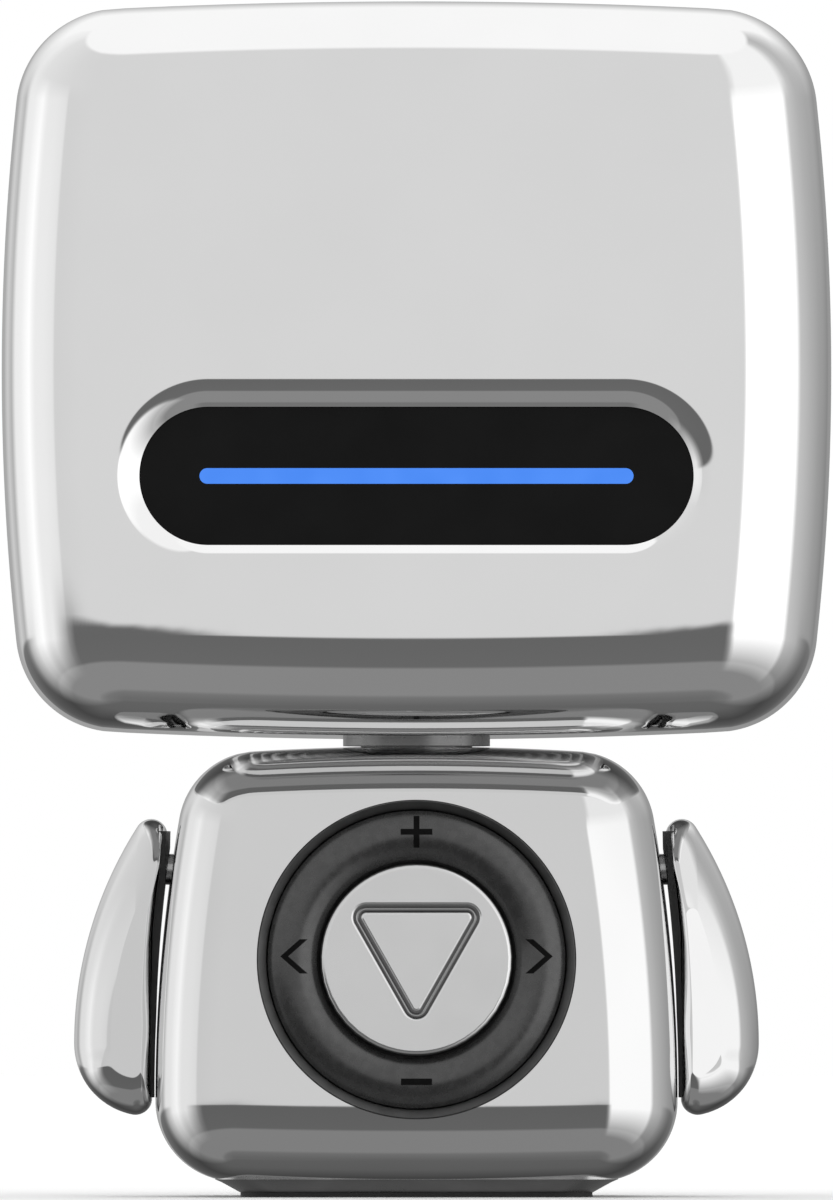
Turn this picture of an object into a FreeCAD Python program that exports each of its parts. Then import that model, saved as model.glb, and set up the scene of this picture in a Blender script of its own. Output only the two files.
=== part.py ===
import FreeCAD, Part
import math
import os
import Sketcher

# A palm-size chrome speaker in the shape of a standing robot: a big rounded-box head with a dark
# visor, a short neck, a smaller torso with a round control pad, two swinging arms and a flat foot.
# Millimetres. +Z is up, the face looks along -Y and the origin is the middle of the foot's underside.

DIMENSIONS = {
    # head: half sizes, height of its middle, radii of its bowed faces, edge roll and wall
    "head_half_x": 26.8,
    "head_half_y": 16.5,
    "head_half_z": 23.725,
    "head_mid_z": 53.275,
    "head_bow_x": 161.0,
    "head_bow_y": 1200.0,
    "head_bow_z": 400.0,
    "head_edge": 6.5,
    "head_wall": 1.6,
    "head_split_y": 6.0,
    # torso: it is widest at torso_wide_z and tapers towards the neck
    "torso_half_x": 16.87,
    "torso_half_y": 11.0,
    "torso_half_z": 14.135,
    "torso_mid_z": 14.935,
    "torso_wide_z": 6.5,
    "torso_bow_x": 105.0,
    "torso_bow_y": 450.0,
    "torso_bow_top": 175.0,
    "torso_bow_bottom": 400.0,
    "torso_edge": 5.2,
    "torso_wall": 1.4,
    "torso_split_y": 6.6,
    # joint between the front and the rear shell of each casing
    "parting_gap": 0.1,
    "lip_length": 1.2,
    "lip_clearance": 0.05,
    # visor
    "visor_z": 46.26,
    "visor_half_x": 17.75,
    "visor_half_z": 4.43,
    "visor_flare_depth": 0.8,
    "visor_flare_angle": 40.0,
    "visor_flare_roll": 2.6,
    "visor_lens_depth": 1.1,
    "visor_seat_depth": 2.2,
    "visor_gap": 0.04,
    "light_bar_half_x": 13.9,
    "light_bar_half_z": 0.5,
    # speaker driver, facing the back of the head
    "speaker_z": 54.3,
    "grille_radius": 14.9,
    "grille_thickness": 0.6,
    "grille_pitch": 2.05,
    "grille_hole": 0.55,
    "speaker_mouth": 13.2,
    "speaker_seat_y": 14.6,
    "flange_radius": 15.4,
    "cone_radius": 10.4,
    "coil_radius": 4.0,
    # neck
    "neck_radius": 4.75,
    "neck_shaft": 3.6,
    "neck_bore": 2.2,
    "neck_flange": 8.6,
    "neck_flange_z": 32.4,
    "neck_end_z": 24.0,
    "running_gap": 0.05,
    # control pad on the torso
    "pad_z": 15.3,
    "bezel_radius": 10.22,
    "bezel_bore": 9.66,
    "ring_outer": 9.55,
    "ring_inner": 6.4,
    "ring_crown": 0.6,
    "ring_edge_y": -10.35,
    "ring_rear_y": -9.5,
    "gimbal_y": -8.55,
    "button_radius": 6.17,
    "button_face_y": -11.05,
    "keypad_y": -7.6,
    "board_y": -5.2,
    "mark_stroke": 0.38,
    "mark_depth": 0.2,
    # arms
    "arm_half_y": 4.2,
    "arm_middle_z": 9.9,
    "arm_outer_x": 22.13,
    "arm_upper_bow": 26.0,
    "arm_lower_bow": 4.7,
    "arm_inner_bow": 90.0,
    "arm_inner_x": 17.16,
    "arm_inner_z": 9.5,
    "arm_tip": 1.05,
    "arm_roll": 0.8,
    "arm_ceiling_z": 23.2,
    "swing_room": 0.3,
    "shoulder_z": 21.14,
    "shoulder_radius": 1.0,
    # foot
    "foot_half_x": 13.1,
    "foot_half_y": 7.6,
    "foot_toe_x": 11.5,
    "foot_toe_y": 6.1,
    "foot_rim_z": 1.05,
    "foot_pad_thickness": 0.3,
    # fasteners
    "screw_shank": 0.8,
    "screw_head": 1.6,
    "small_shank": 0.6,
    "small_head": 1.15,
    "pilot_gap": 0.02,
}

MIRROR_SIDES = (-1, 1)

doc = FreeCAD.newDocument("robot_speaker")
sheet = doc.addObject("Spreadsheet::Sheet", "dims")


class Size:
    """A length that carries its value and the spreadsheet formula that drives it."""

    def __init__(self, value, formula):
        self.value = value
        self.formula = formula

    def __add__(self, other):
        other = as_size(other)
        return Size(self.value + other.value, f"({self.formula} + {other.formula})")

    def __radd__(self, other):
        return as_size(other) + self

    def __sub__(self, other):
        other = as_size(other)
        return Size(self.value - other.value, f"({self.formula} - {other.formula})")

    def __rsub__(self, other):
        return as_size(other) - self

    def __mul__(self, factor):
        return Size(self.value * factor, f"({self.formula} * ({factor}))")

    def __rmul__(self, factor):
        return self * factor

    def __neg__(self):
        return self * -1


def as_size(number):
    if isinstance(number, Size):
        return number
    return Size(float(number), f"({float(number)})")


def fill_sheet():
    """Write each dimension into the sheet and give its cell the dimension's name."""
    for row, (name, number) in enumerate(DIMENSIONS.items(), start=1):
        sheet.set(f"A{row}", name.replace("_", " "))
        sheet.set(f"B{row}", str(number))
        sheet.setAlias(f"B{row}", name)
    doc.recompute()


def dim(name):
    return Size(float(sheet.get(name)), f"dims.{name}")


def drive(item, prop, size):
    """Bind one property of an object to the sheet."""
    item.setExpression(prop, as_size(size).formula)


def place(item, base, rotation=None):
    """Put an object's origin at base, each coordinate driven from the sheet."""
    x, y, z = (as_size(part) for part in base)
    turn = rotation or FreeCAD.Rotation()
    item.Placement = FreeCAD.Placement(FreeCAD.Vector(x.value, y.value, z.value), turn)
    drive(item, "Placement.Base.x", x)
    drive(item, "Placement.Base.y", y)
    drive(item, "Placement.Base.z", z)


def axis_turn(axis):
    """The rotation that turns +Z onto the named axis."""
    turns = {
        "x": FreeCAD.Rotation(FreeCAD.Vector(0, 1, 0), 90),
        "y": FreeCAD.Rotation(FreeCAD.Vector(1, 0, 0), -90),
        "z": FreeCAD.Rotation(),
    }
    return turns[axis]


def box(name, low, high):
    made = doc.addObject("Part::Box", name)
    for side, start, end in zip(("Length", "Width", "Height"), low, high):
        drive(made, side, as_size(end) - start)
    place(made, low)
    return made


def cylinder(name, axis, foot, radius, length):
    made = doc.addObject("Part::Cylinder", name)
    drive(made, "Radius", radius)
    drive(made, "Height", length)
    place(made, foot, axis_turn(axis))
    return made


def cone(name, axis, foot, start_radius, end_radius, length):
    made = doc.addObject("Part::Cone", name)
    drive(made, "Radius1", start_radius)
    drive(made, "Radius2", end_radius)
    drive(made, "Height", length)
    place(made, foot, axis_turn(axis))
    return made


def torus(name, axis, centre, ring_radius, tube_radius):
    made = doc.addObject("Part::Torus", name)
    drive(made, "Radius1", ring_radius)
    drive(made, "Radius2", tube_radius)
    place(made, centre, axis_turn(axis))
    return made


def sphere(name, centre, radius, rotation=None):
    made = doc.addObject("Part::Sphere", name)
    drive(made, "Radius", radius)
    place(made, centre, rotation)
    return made


def fuse(name, *parts):
    made = doc.addObject("Part::MultiFuse", name)
    made.Shapes = list(parts)
    return made


def group(name, *parts):
    """Separate solids kept side by side in one shape."""
    made = doc.addObject("Part::Compound", name)
    made.Links = list(parts)
    return made


def cut(name, base, *tools):
    made = doc.addObject("Part::Cut", name)
    made.Base = base
    made.Tool = tools[0] if len(tools) == 1 else group(f"{name}_tools", *tools)
    return made


def cut_fused(name, base, *tools):
    """Cut with tools that overlap one another."""
    return cut(name, base, fuse(f"{name}_tool", *tools))


def common(name, *parts):
    made = doc.addObject("Part::MultiCommon", name)
    made.Shapes = list(parts)
    return made


def tube(name, axis, foot, outer, inner, length):
    return cut(
        name,
        cylinder(f"{name}_outer", axis, foot, outer, length),
        cylinder(f"{name}_inner", axis, foot, inner, length),
    )


def fillet(name, base, radius, wanted=None):
    """Roll the edges that wanted(edge) picks, or all of them, to one radius."""
    doc.recompute()
    edges = enumerate(base.Shape.Edges, start=1)
    picked = [number for number, edge in edges if wanted is None or wanted(edge)]
    made = doc.addObject("Part::Fillet", name)
    made.Base = base
    made.Edges = [(number, radius.value, radius.value) for number in picked]
    return made


def rounded_box(name, axis, low, high, radius):
    """A box whose four edges along one axis are rounded."""
    direction = axis_turn(axis).multVec(FreeCAD.Vector(0, 0, 1))

    def along(edge):
        run = edge.Vertexes[1].Point - edge.Vertexes[0].Point
        return abs(run.normalize().dot(direction)) > 0.99

    return fillet(name, box(f"{name}_blank", low, high), as_size(radius), along)


def stadium(name, middle, half_x, half_z, start_y, end_y):
    """A long slot shape in the XZ plane with round ends, from start_y back to end_y."""
    x, z = middle
    run = half_x - half_z
    depth = as_size(end_y) - start_y
    return fuse(
        name,
        box(f"{name}_run", (x - run, start_y, z - half_z), (x + run, end_y, z + half_z)),
        cylinder(f"{name}_left", "y", (x - run, start_y, z), half_z, depth),
        cylinder(f"{name}_right", "y", (x + run, start_y, z), half_z, depth),
    )


def sketched_body(name, role, points):
    """A body with a closed sketch of straight lines, each corner driven from the sheet."""
    body = doc.addObject("PartDesign::Body", name)
    plane = next(item for item in body.Origin.OriginFeatures if item.Role == role)
    sketch = body.newObject("Sketcher::SketchObject", f"{name}_sketch")
    sketch.AttachmentSupport = [(plane, "")]
    sketch.MapMode = "FlatFace"
    corners = [(as_size(across), as_size(up)) for across, up in points]
    vectors = [FreeCAD.Vector(across.value, up.value, 0) for across, up in corners]
    for start, end in zip(vectors, vectors[1:] + vectors[:1]):
        sketch.addGeometry(Part.LineSegment(start, end))
    count = len(corners)
    for index in range(count):
        sketch.addConstraint(Sketcher.Constraint("Coincident", index, 2, (index + 1) % count, 1))
    for index, corner in enumerate(corners):
        for kind, size in zip(("DistanceX", "DistanceY"), corner):
            number = sketch.addConstraint(Sketcher.Constraint(kind, -1, 1, index, 1, size.value))
            sketch.setExpression(f"Constraints[{number}]", size.formula)
    return body, sketch


def turned(name, axis, foot, points):
    """A piece turned about an axis from (radius, distance along the axis) corners."""
    body, sketch = sketched_body(name, "XZ_Plane", points)
    turning = body.newObject("PartDesign::Revolution", f"{name}_turning")
    turning.Profile = sketch
    turning.ReferenceAxis = (sketch, ["V_Axis"])
    turning.Angle = 360
    place(body, foot, axis_turn(axis))
    return body


def extruded(name, points, start_y, length):
    """A plate cut to an outline in the XZ plane, start_y to start_y + length."""
    body, sketch = sketched_body(name, "XZ_Plane", points)
    pad = body.newObject("PartDesign::Pad", f"{name}_pad")
    pad.Profile = sketch
    drive(pad, "Length", length)
    pad.Reversed = True
    place(body, (0, start_y, 0))
    return body


NODES = []


def node(item, label):
    """Name a finished piece. Its label is also the name of its file."""
    item.Label = label
    NODES.append(item)
    return item


# ---------------------------------------------------------------- rounded casings


def pillow(name, part, inset):
    """A box of six bowed faces with rolled edges, lying inset inside the outer surface of part."""
    half = [dim(f"{part}_half_{axis}") for axis in "xyz"]
    middle = dim(f"{part}_mid_z")
    top_name = "head_bow_z" if part == "head" else "torso_bow_top"
    bottom_name = "head_bow_z" if part == "head" else "torso_bow_bottom"
    side_z = middle if part == "head" else dim("torso_wide_z")
    bow_x = dim(f"{part}_bow_x")
    bow_y = dim(f"{part}_bow_y")
    top = dim(top_name)
    bottom = dim(bottom_name)
    # each ball is turned so that its seam and poles stay off the patch that is used
    half_turn = FreeCAD.Rotation(FreeCAD.Vector(0, 0, 1), 180)
    lying = FreeCAD.Rotation(FreeCAD.Vector(1, 0, 0), 90)
    balls = (
        sphere(f"{name}_right", (half[0] - bow_x, 0, side_z), bow_x - inset, half_turn),
        sphere(f"{name}_left", (bow_x - half[0], 0, side_z), bow_x - inset),
        sphere(f"{name}_rear", (0, half[1] - bow_y, middle), bow_y - inset),
        sphere(f"{name}_front", (0, bow_y - half[1], middle), bow_y - inset),
        sphere(f"{name}_top", (0, 0, middle + half[2] - top), top - inset, lying),
        sphere(f"{name}_bottom", (0, 0, middle - half[2] + bottom), bottom - inset, lying),
    )
    return fillet(name, common(f"{name}_core", *balls), dim(f"{part}_edge") - inset)


def slab(name, start_y, end_y):
    """Everything between two planes across the depth."""
    reach = 90
    return box(name, (-reach, start_y, -reach), (reach, end_y, reach))


def split_casing(part):
    """Front and rear shell blanks of a casing, joined by a hidden lip, and its outer solid."""
    wall = dim(f"{part}_wall")
    split = dim(f"{part}_split_y")
    gap = dim("parting_gap")
    lip = dim("lip_length")
    half_wall = wall * 0.5
    reach = 90
    overlap = 0.3
    outer = pillow(f"{part}_outer", part, as_size(0))
    inner = pillow(f"{part}_inner", part, wall)
    tongue = pillow(f"{part}_tongue", part, half_wall)
    groove = pillow(f"{part}_groove", part, half_wall - dim("lip_clearance"))
    front_shell = cut(
        f"{part}_front_blank",
        fuse(
            f"{part}_front_solid",
            common(f"{part}_front_half", outer, slab(f"{part}_front_slab", -reach, split)),
            common(f"{part}_lip", tongue, slab(f"{part}_lip_slab", split - overlap, split + lip)),
        ),
        inner,
    )
    rear_half = common(f"{part}_rear_half", outer, slab(f"{part}_rear_slab", split + gap, reach))
    rebate = common(f"{part}_rebate", groove, slab(f"{part}_rebate_slab", split, split + lip + gap))
    rear_shell = cut_fused(f"{part}_rear_blank", rear_half, inner, rebate)
    return front_shell, rear_shell, outer


def screw(name, axis, seat, shank, head, shank_run, head_run):
    """A cross-slot screw. It points from its seat towards the low end of its axis."""
    ways = {"x": (1, 0, 0), "y": (0, 1, 0), "z": (0, 0, 1)}
    way = ways[axis]
    foot = tuple(as_size(at) - as_size(shank_run) * step for at, step in zip(seat, way))
    slot_half = head * 0.13
    slot_reach = head * 0.6
    slot_depth = as_size(head_run) * 0.5
    shaft = cylinder(f"{name}_shank", axis, foot, shank, as_size(shank_run) + as_size(head_run) * 0.5)
    cap = cylinder(f"{name}_head", axis, seat, head, head_run)
    slots = []
    for number, (wide, tall) in enumerate(((slot_reach, slot_half), (slot_half, slot_reach))):
        across = [wide, tall]
        low = []
        high = []
        for at, step in zip(seat, way):
            if step:
                low.append(at + as_size(head_run) - slot_depth)
                high.append(at + as_size(head_run) + 1)
            else:
                reach = across.pop(0)
                low.append(as_size(at) - reach)
                high.append(as_size(at) + reach)
        slots.append(box(f"{name}_slot_{number}", low, high))
    return cut_fused(name, fuse(f"{name}_body", shaft, cap), *slots)


# ---------------------------------------------------------------- head


HEAD_SCREW_SPOTS = [
    (20 * side, DIMENSIONS["head_mid_z"] + 17 * level) for side in MIRROR_SIDES for level in (-1, 1)
]
HEAD_SCREW_SEAT_Y = 9
# posts start inside the thickness of the face, so that they grow out of it
HEAD_POST_START_Y = -15.2
LAMP_SCREW_X = 22
LAMP_BOARD_DEPTH = 4.9
LAMP_BOARD_THICKNESS = 0.8
NECK_SCREW_ANGLES = (30, 150, 270)
NECK_SCREW_CIRCLE = 6.7


def visor_depth(depth):
    """A Y position that lies depth behind the front of the head."""
    return as_size(depth) - dim("head_half_y")


def visor_cutter():
    """Flared slot through the face: a sloping mouth that narrows to the lens opening."""
    half_x = dim("visor_half_x")
    half_z = dim("visor_half_z")
    depth = dim("visor_flare_depth")
    z = dim("visor_z")
    slope = 1 / math.tan(math.radians(DIMENSIONS["visor_flare_angle"]))
    proud = 1.0
    rim = half_z + (depth + proud) * slope
    run = half_x - half_z
    front = visor_depth(-proud)
    floor = visor_depth(depth)
    ends = [
        cone(f"visor_mouth_{number}", "y", (run * side, front, z), rim, half_z, depth + proud)
        for number, side in enumerate(MIRROR_SIDES)
    ]
    body, sketch = sketched_body(
        "visor_mouth_run",
        "YZ_Plane",
        [(front, z - rim), (floor, z - half_z), (floor, z + half_z), (front, z + rim)],
    )
    pad = body.newObject("PartDesign::Pad", "visor_mouth_pad")
    pad.Profile = sketch
    drive(pad, "Length", run * 2)
    pad.Midplane = True
    back = visor_depth(dim("visor_seat_depth") + 1)
    opening = stadium("visor_opening", (0, z), half_x, half_z, floor - 0.2, back)
    return fuse("visor_cutter", body, *ends, opening)


def on_visor_mouth(edge):
    """Whether an edge is the outline where the sloping mouth meets the face."""
    box_of = edge.BoundBox
    centre = edge.CenterOfMass
    slope_depth = DIMENSIONS["visor_flare_depth"]
    front = -DIMENSIONS["head_half_y"]
    near_face = box_of.YMin > front - 0.01 and box_of.YMax < front + slope_depth * 0.6
    in_height = abs(centre.z - DIMENSIONS["visor_z"]) < 7
    in_width = abs(centre.x) < 20
    return near_face and in_height and in_width


def head_front():
    front_blank, rear_blank, _ = split_casing("head")
    z = dim("visor_z")
    mouth = cut("head_with_mouth", front_blank, visor_cutter())
    rolled = fillet("head_with_visor", mouth, dim("visor_flare_roll"), on_visor_mouth)
    seat = visor_depth(dim("visor_seat_depth"))
    wall_back = visor_depth(dim("head_wall") - 0.3)
    collar_end = visor_depth(LAMP_BOARD_DEPTH)
    collar_outer = dim("visor_half_z") + 2.3
    collar_inner = dim("visor_half_z") + 1.3
    grow_outer = dim("visor_half_x") + 2.3
    grow_inner = dim("visor_half_x") + 1.3
    collar = cut_fused(
        "visor_collar",
        stadium("collar_outer", (0, z), grow_outer, collar_outer, wall_back, collar_end),
        stadium("collar_seat", (0, z), grow_inner, collar_inner, seat, collar_end + 1),
        stadium(
            "collar_opening", (0, z), dim("visor_half_x"), dim("visor_half_z"), wall_back - 1, seat + 1
        ),
    )
    post_run = dim("head_split_y") - HEAD_POST_START_Y
    posts = [
        cylinder(f"head_boss_{number}", "y", (x, HEAD_POST_START_Y, at_z), 2.2, post_run)
        for number, (x, at_z) in enumerate(HEAD_SCREW_SPOTS)
    ]
    pilot = dim("screw_shank") + dim("pilot_gap")
    pilots = [
        cylinder(f"head_pilot_{number}", "y", (x, -1, at_z), pilot, dim("head_split_y") + 2)
        for number, (x, at_z) in enumerate(HEAD_SCREW_SPOTS)
    ]
    floor = dim("head_mid_z") - dim("head_half_z")
    neck_disc = cylinder("neck_disc", "z", (0, 0, floor + 0.8), 9.2, dim("neck_flange_z") - floor - 0.8)
    neck_pad = common("neck_pad", neck_disc, slab("neck_pad_slab", -20, dim("head_split_y")))
    neck_hole = cylinder("neck_hole", "z", (0, 0, floor - 1), dim("neck_radius") + 0.05, 6)
    small_pilot = dim("small_shank") + dim("pilot_gap")
    neck_pilots = [
        cylinder(
            f"neck_pilot_{angle}",
            "z",
            (*on_circle(NECK_SCREW_CIRCLE, angle), floor + 1.1),
            small_pilot,
            4,
        )
        for angle in NECK_SCREW_ANGLES
    ]
    lamp_posts = []
    lamp_pilots = []
    for number, side in enumerate(MIRROR_SIDES):
        x = LAMP_SCREW_X * side
        lamp_run = collar_end - HEAD_POST_START_Y
        lamp_posts.append(cylinder(f"lamp_boss_{number}", "y", (x, HEAD_POST_START_Y, z), 1.5, lamp_run))
        pilot_at = (x, HEAD_POST_START_Y + 1, z)
        lamp_pilots.append(cylinder(f"lamp_pilot_{number}", "y", pilot_at, small_pilot, 6))
    grown = fuse("head_front_grown", rolled, collar, neck_pad, *posts, *lamp_posts)
    node(
        cut("head_front", grown, neck_hole, *pilots, *neck_pilots, *lamp_pilots),
        "head_front_shell",
    )
    return rear_blank


def on_circle(radius, angle):
    turn = math.radians(angle)
    return radius * math.cos(turn), radius * math.sin(turn)


def head_rear(rear_blank):
    z = dim("speaker_z")
    back = dim("head_half_y")
    seat_y = dim("speaker_seat_y")
    rebate_y = back - 0.15 - dim("grille_thickness")
    split = dim("head_split_y") + dim("parting_gap")
    seat_ring = cylinder("speaker_seat", "y", (0, seat_y, z), 16.2, 0.8)
    tubes = [
        cylinder(f"head_tube_{number}", "y", (x, split, at_z), 2.4, 9.4)
        for number, (x, at_z) in enumerate(HEAD_SCREW_SPOTS)
    ]
    holes = [
        cylinder(f"head_way_{number}", "y", (x, split - 1, at_z), dim("screw_shank") + 0.15, 12)
        for number, (x, at_z) in enumerate(HEAD_SCREW_SPOTS)
    ]
    bores = [
        cylinder(f"head_sink_{number}", "y", (x, HEAD_SCREW_SEAT_Y, at_z), dim("screw_head") + 0.25, 12)
        for number, (x, at_z) in enumerate(HEAD_SCREW_SPOTS)
    ]
    mouth = cylinder("speaker_mouth_cut", "y", (0, seat_y - 1, z), dim("speaker_mouth"), 6)
    rebate = cylinder("grille_rebate", "y", (0, rebate_y, z), dim("grille_radius") + 0.08, 4)
    grown = fuse("head_rear_grown", rear_blank, seat_ring, *tubes)
    node(cut_fused("head_rear", grown, mouth, rebate, *holes, *bores), "head_rear_shell")


def visor_parts():
    z = dim("visor_z")
    half_x = dim("visor_half_x")
    half_z = dim("visor_half_z")
    gap = dim("visor_gap")
    seat = dim("visor_seat_depth")
    lens_front = visor_depth(dim("visor_lens_depth"))
    seat_y = visor_depth(seat)
    gasket_end = visor_depth(seat + 0.2)
    flange_end = visor_depth(seat + 0.9)
    guide_end = visor_depth(seat + 1.7)
    bar_x = dim("light_bar_half_x")
    bar_z = dim("light_bar_half_z")
    window = stadium("lens_window", (0, z), half_x - gap, half_z - gap, lens_front, flange_end)
    flange = stadium("lens_flange", (0, z), half_x + 1.2, half_z + 1.2, gasket_end, flange_end)
    slot = stadium("lens_slot", (0, z), bar_x, bar_z, lens_front - 1, flange_end + 1)
    node(cut("lens", fuse("lens_solid", window, flange), slot), "visor_lens")
    ring = stadium("gasket_outer", (0, z), half_x + 1.2, half_z + 1.2, seat_y, gasket_end)
    hole = stadium("gasket_inner", (0, z), half_x, half_z, seat_y - 1, gasket_end + 1)
    node(cut("gasket", ring, hole), "visor_gasket")
    bar = stadium("guide_bar", (0, z), bar_x - 0.01, bar_z - 0.01, lens_front, flange_end)
    foot = box("guide_foot", (-15, flange_end, z - 2), (15, guide_end, z + 2))
    node(fuse("guide", bar, foot), "light_guide")
    board_y = visor_depth(LAMP_BOARD_DEPTH)
    board_back = board_y + LAMP_BOARD_THICKNESS
    board = rounded_box("lamp_board", "y", (-24, board_y, z - 6), (24, board_back, z + 6), 1.5)
    ways = [
        cylinder(f"lamp_board_way_{number}", "y", (LAMP_SCREW_X * side, board_y - 1, z), 0.7, 3)
        for number, side in enumerate(MIRROR_SIDES)
    ]
    node(cut("lamp_board_cut", board, *ways), "light_board")
    leds = [
        box(f"led_{number}", (x - 1, board_y - 0.8, z - 0.6), (x + 1, board_y, z + 0.6))
        for number, x in enumerate(range(-14, 15, 4))
    ]
    node(group("leds", *leds), "light_leds")
    screws = [
        screw(
            f"lamp_screw_{number}",
            "y",
            (LAMP_SCREW_X * side, board_back, z),
            dim("small_shank"),
            dim("small_head"),
            3,
            0.7,
        )
        for number, side in enumerate(MIRROR_SIDES)
    ]
    node(group("lamp_screws", *screws), "light_board_screws")


def grille():
    z = dim("speaker_z")
    front_y = dim("head_half_y") - 0.15 - dim("grille_thickness")
    disc = cylinder("grille_disc", "y", (0, front_y, z), dim("grille_radius"), dim("grille_thickness"))
    pitch = dim("grille_pitch")
    holes = [cylinder("grille_hole_0", "y", (0, front_y - 1, z), dim("grille_hole"), 3)]
    for ring in range(1, 7):
        for step in range(6 * ring):
            angle = math.radians(60 * step / ring)
            x = pitch * (ring * math.cos(angle))
            up = pitch * (ring * math.sin(angle))
            name = f"grille_hole_{ring}_{step}"
            holes.append(cylinder(name, "y", (x, front_y - 1, z + up), dim("grille_hole"), 3))
    node(cut("grille_plate", disc, *holes), "speaker_grille")


def speaker():
    """Driver with its basket towards the face and its cone towards the grille."""
    z = dim("speaker_z")
    seat = dim("speaker_seat_y")
    flange = dim("flange_radius")
    foam = 0.6
    node(
        tube("foam", "y", (0, seat - foam, z), flange, dim("speaker_mouth") + 0.1, foam),
        "speaker_gasket",
    )
    top = seat - foam
    node(
        turned(
            "basket",
            "y",
            (0, top, z),
            [
                (flange, 0),
                (flange, -1),
                (14.0, -1),
                (8.6, -6.4),
                (8.6, -7.4),
                (6.4, -7.4),
                (6.4, -6.6),
                (7.8, -6.6),
                (12.3, -1.1),
                (12.3, -0.6),
                (13.3, -0.6),
                (13.3, 0),
            ],
        ),
        "speaker_frame",
    )
    rim_y = top - 0.6
    skin = 0.3
    cone_edge = dim("cone_radius")
    roll_middle = (cone_edge + 12.3) * 0.5
    roll_radius = (12.3 - cone_edge) * 0.5
    ring_out = torus("roll_out", "y", (0, rim_y, z), roll_middle, roll_radius + skin * 0.5)
    ring_in = torus("roll_in", "y", (0, rim_y, z), roll_middle, roll_radius - skin * 0.5)
    half = slab("roll_half", rim_y, rim_y + 5)
    roll = cut("roll", common("roll_arch", ring_out, half), ring_in)
    outer_lip = tube("roll_outer_lip", "y", (0, rim_y, z), 13.25, 12.3, skin)
    inner_lip = tube("roll_inner_lip", "y", (0, rim_y, z), cone_edge, cone_edge - 0.8, skin)
    node(fuse("roll_all", roll, outer_lip, inner_lip), "speaker_surround")
    coil = dim("coil_radius")
    node(
        turned(
            "cone_paper",
            "y",
            (0, rim_y, z),
            [
                (cone_edge, 0),
                (cone_edge - 0.8, 0),
                (coil + 0.5, -2.6),
                (coil - 0.8, -1.7),
                (1.6, -1.2),
                (0, -1.1),
                (0, -1.4),
                (1.6, -1.5),
                (coil - 0.9, -2.0),
                (coil - 0.1, -2.9),
                (coil + 0.6, -2.9),
                (cone_edge - 0.7, -0.3),
                (cone_edge, -0.3),
            ],
        ),
        "speaker_cone",
    )
    node(tube("coil", "y", (0, rim_y - 7.6, z), coil + 0.3, coil, 4.7), "voice_coil")
    yoke_base = top - 11
    node(
        turned(
            "yoke",
            "y",
            (0, yoke_base, z),
            [(0, 0), (6.4, 0), (6.4, 4.4), (coil + 0.75, 4.4), (coil + 0.75, 1.2), (0, 1.2)],
        ),
        "speaker_yoke",
    )
    magnet = cylinder("magnet_disc", "y", (0, yoke_base + 1.2, z), coil - 0.4, 2.4)
    node(magnet, "speaker_magnet")
    plate = cylinder("top_plate", "y", (0, yoke_base + 3.6, z), coil - 0.25, 0.8)
    node(plate, "speaker_top_plate")


def head_screws():
    screws = [
        screw(
            f"head_screw_{number}",
            "y",
            (x, HEAD_SCREW_SEAT_Y, at_z),
            dim("screw_shank"),
            dim("screw_head"),
            9,
            1.2,
        )
        for number, (x, at_z) in enumerate(HEAD_SCREW_SPOTS)
    ]
    node(group("head_screw_set", *screws), "head_screws")


# ---------------------------------------------------------------- neck


CLIP_TOP_Z = 25.5
CLIP_THICKNESS = 0.8
BUSH_RADIUS = 4.9


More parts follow.
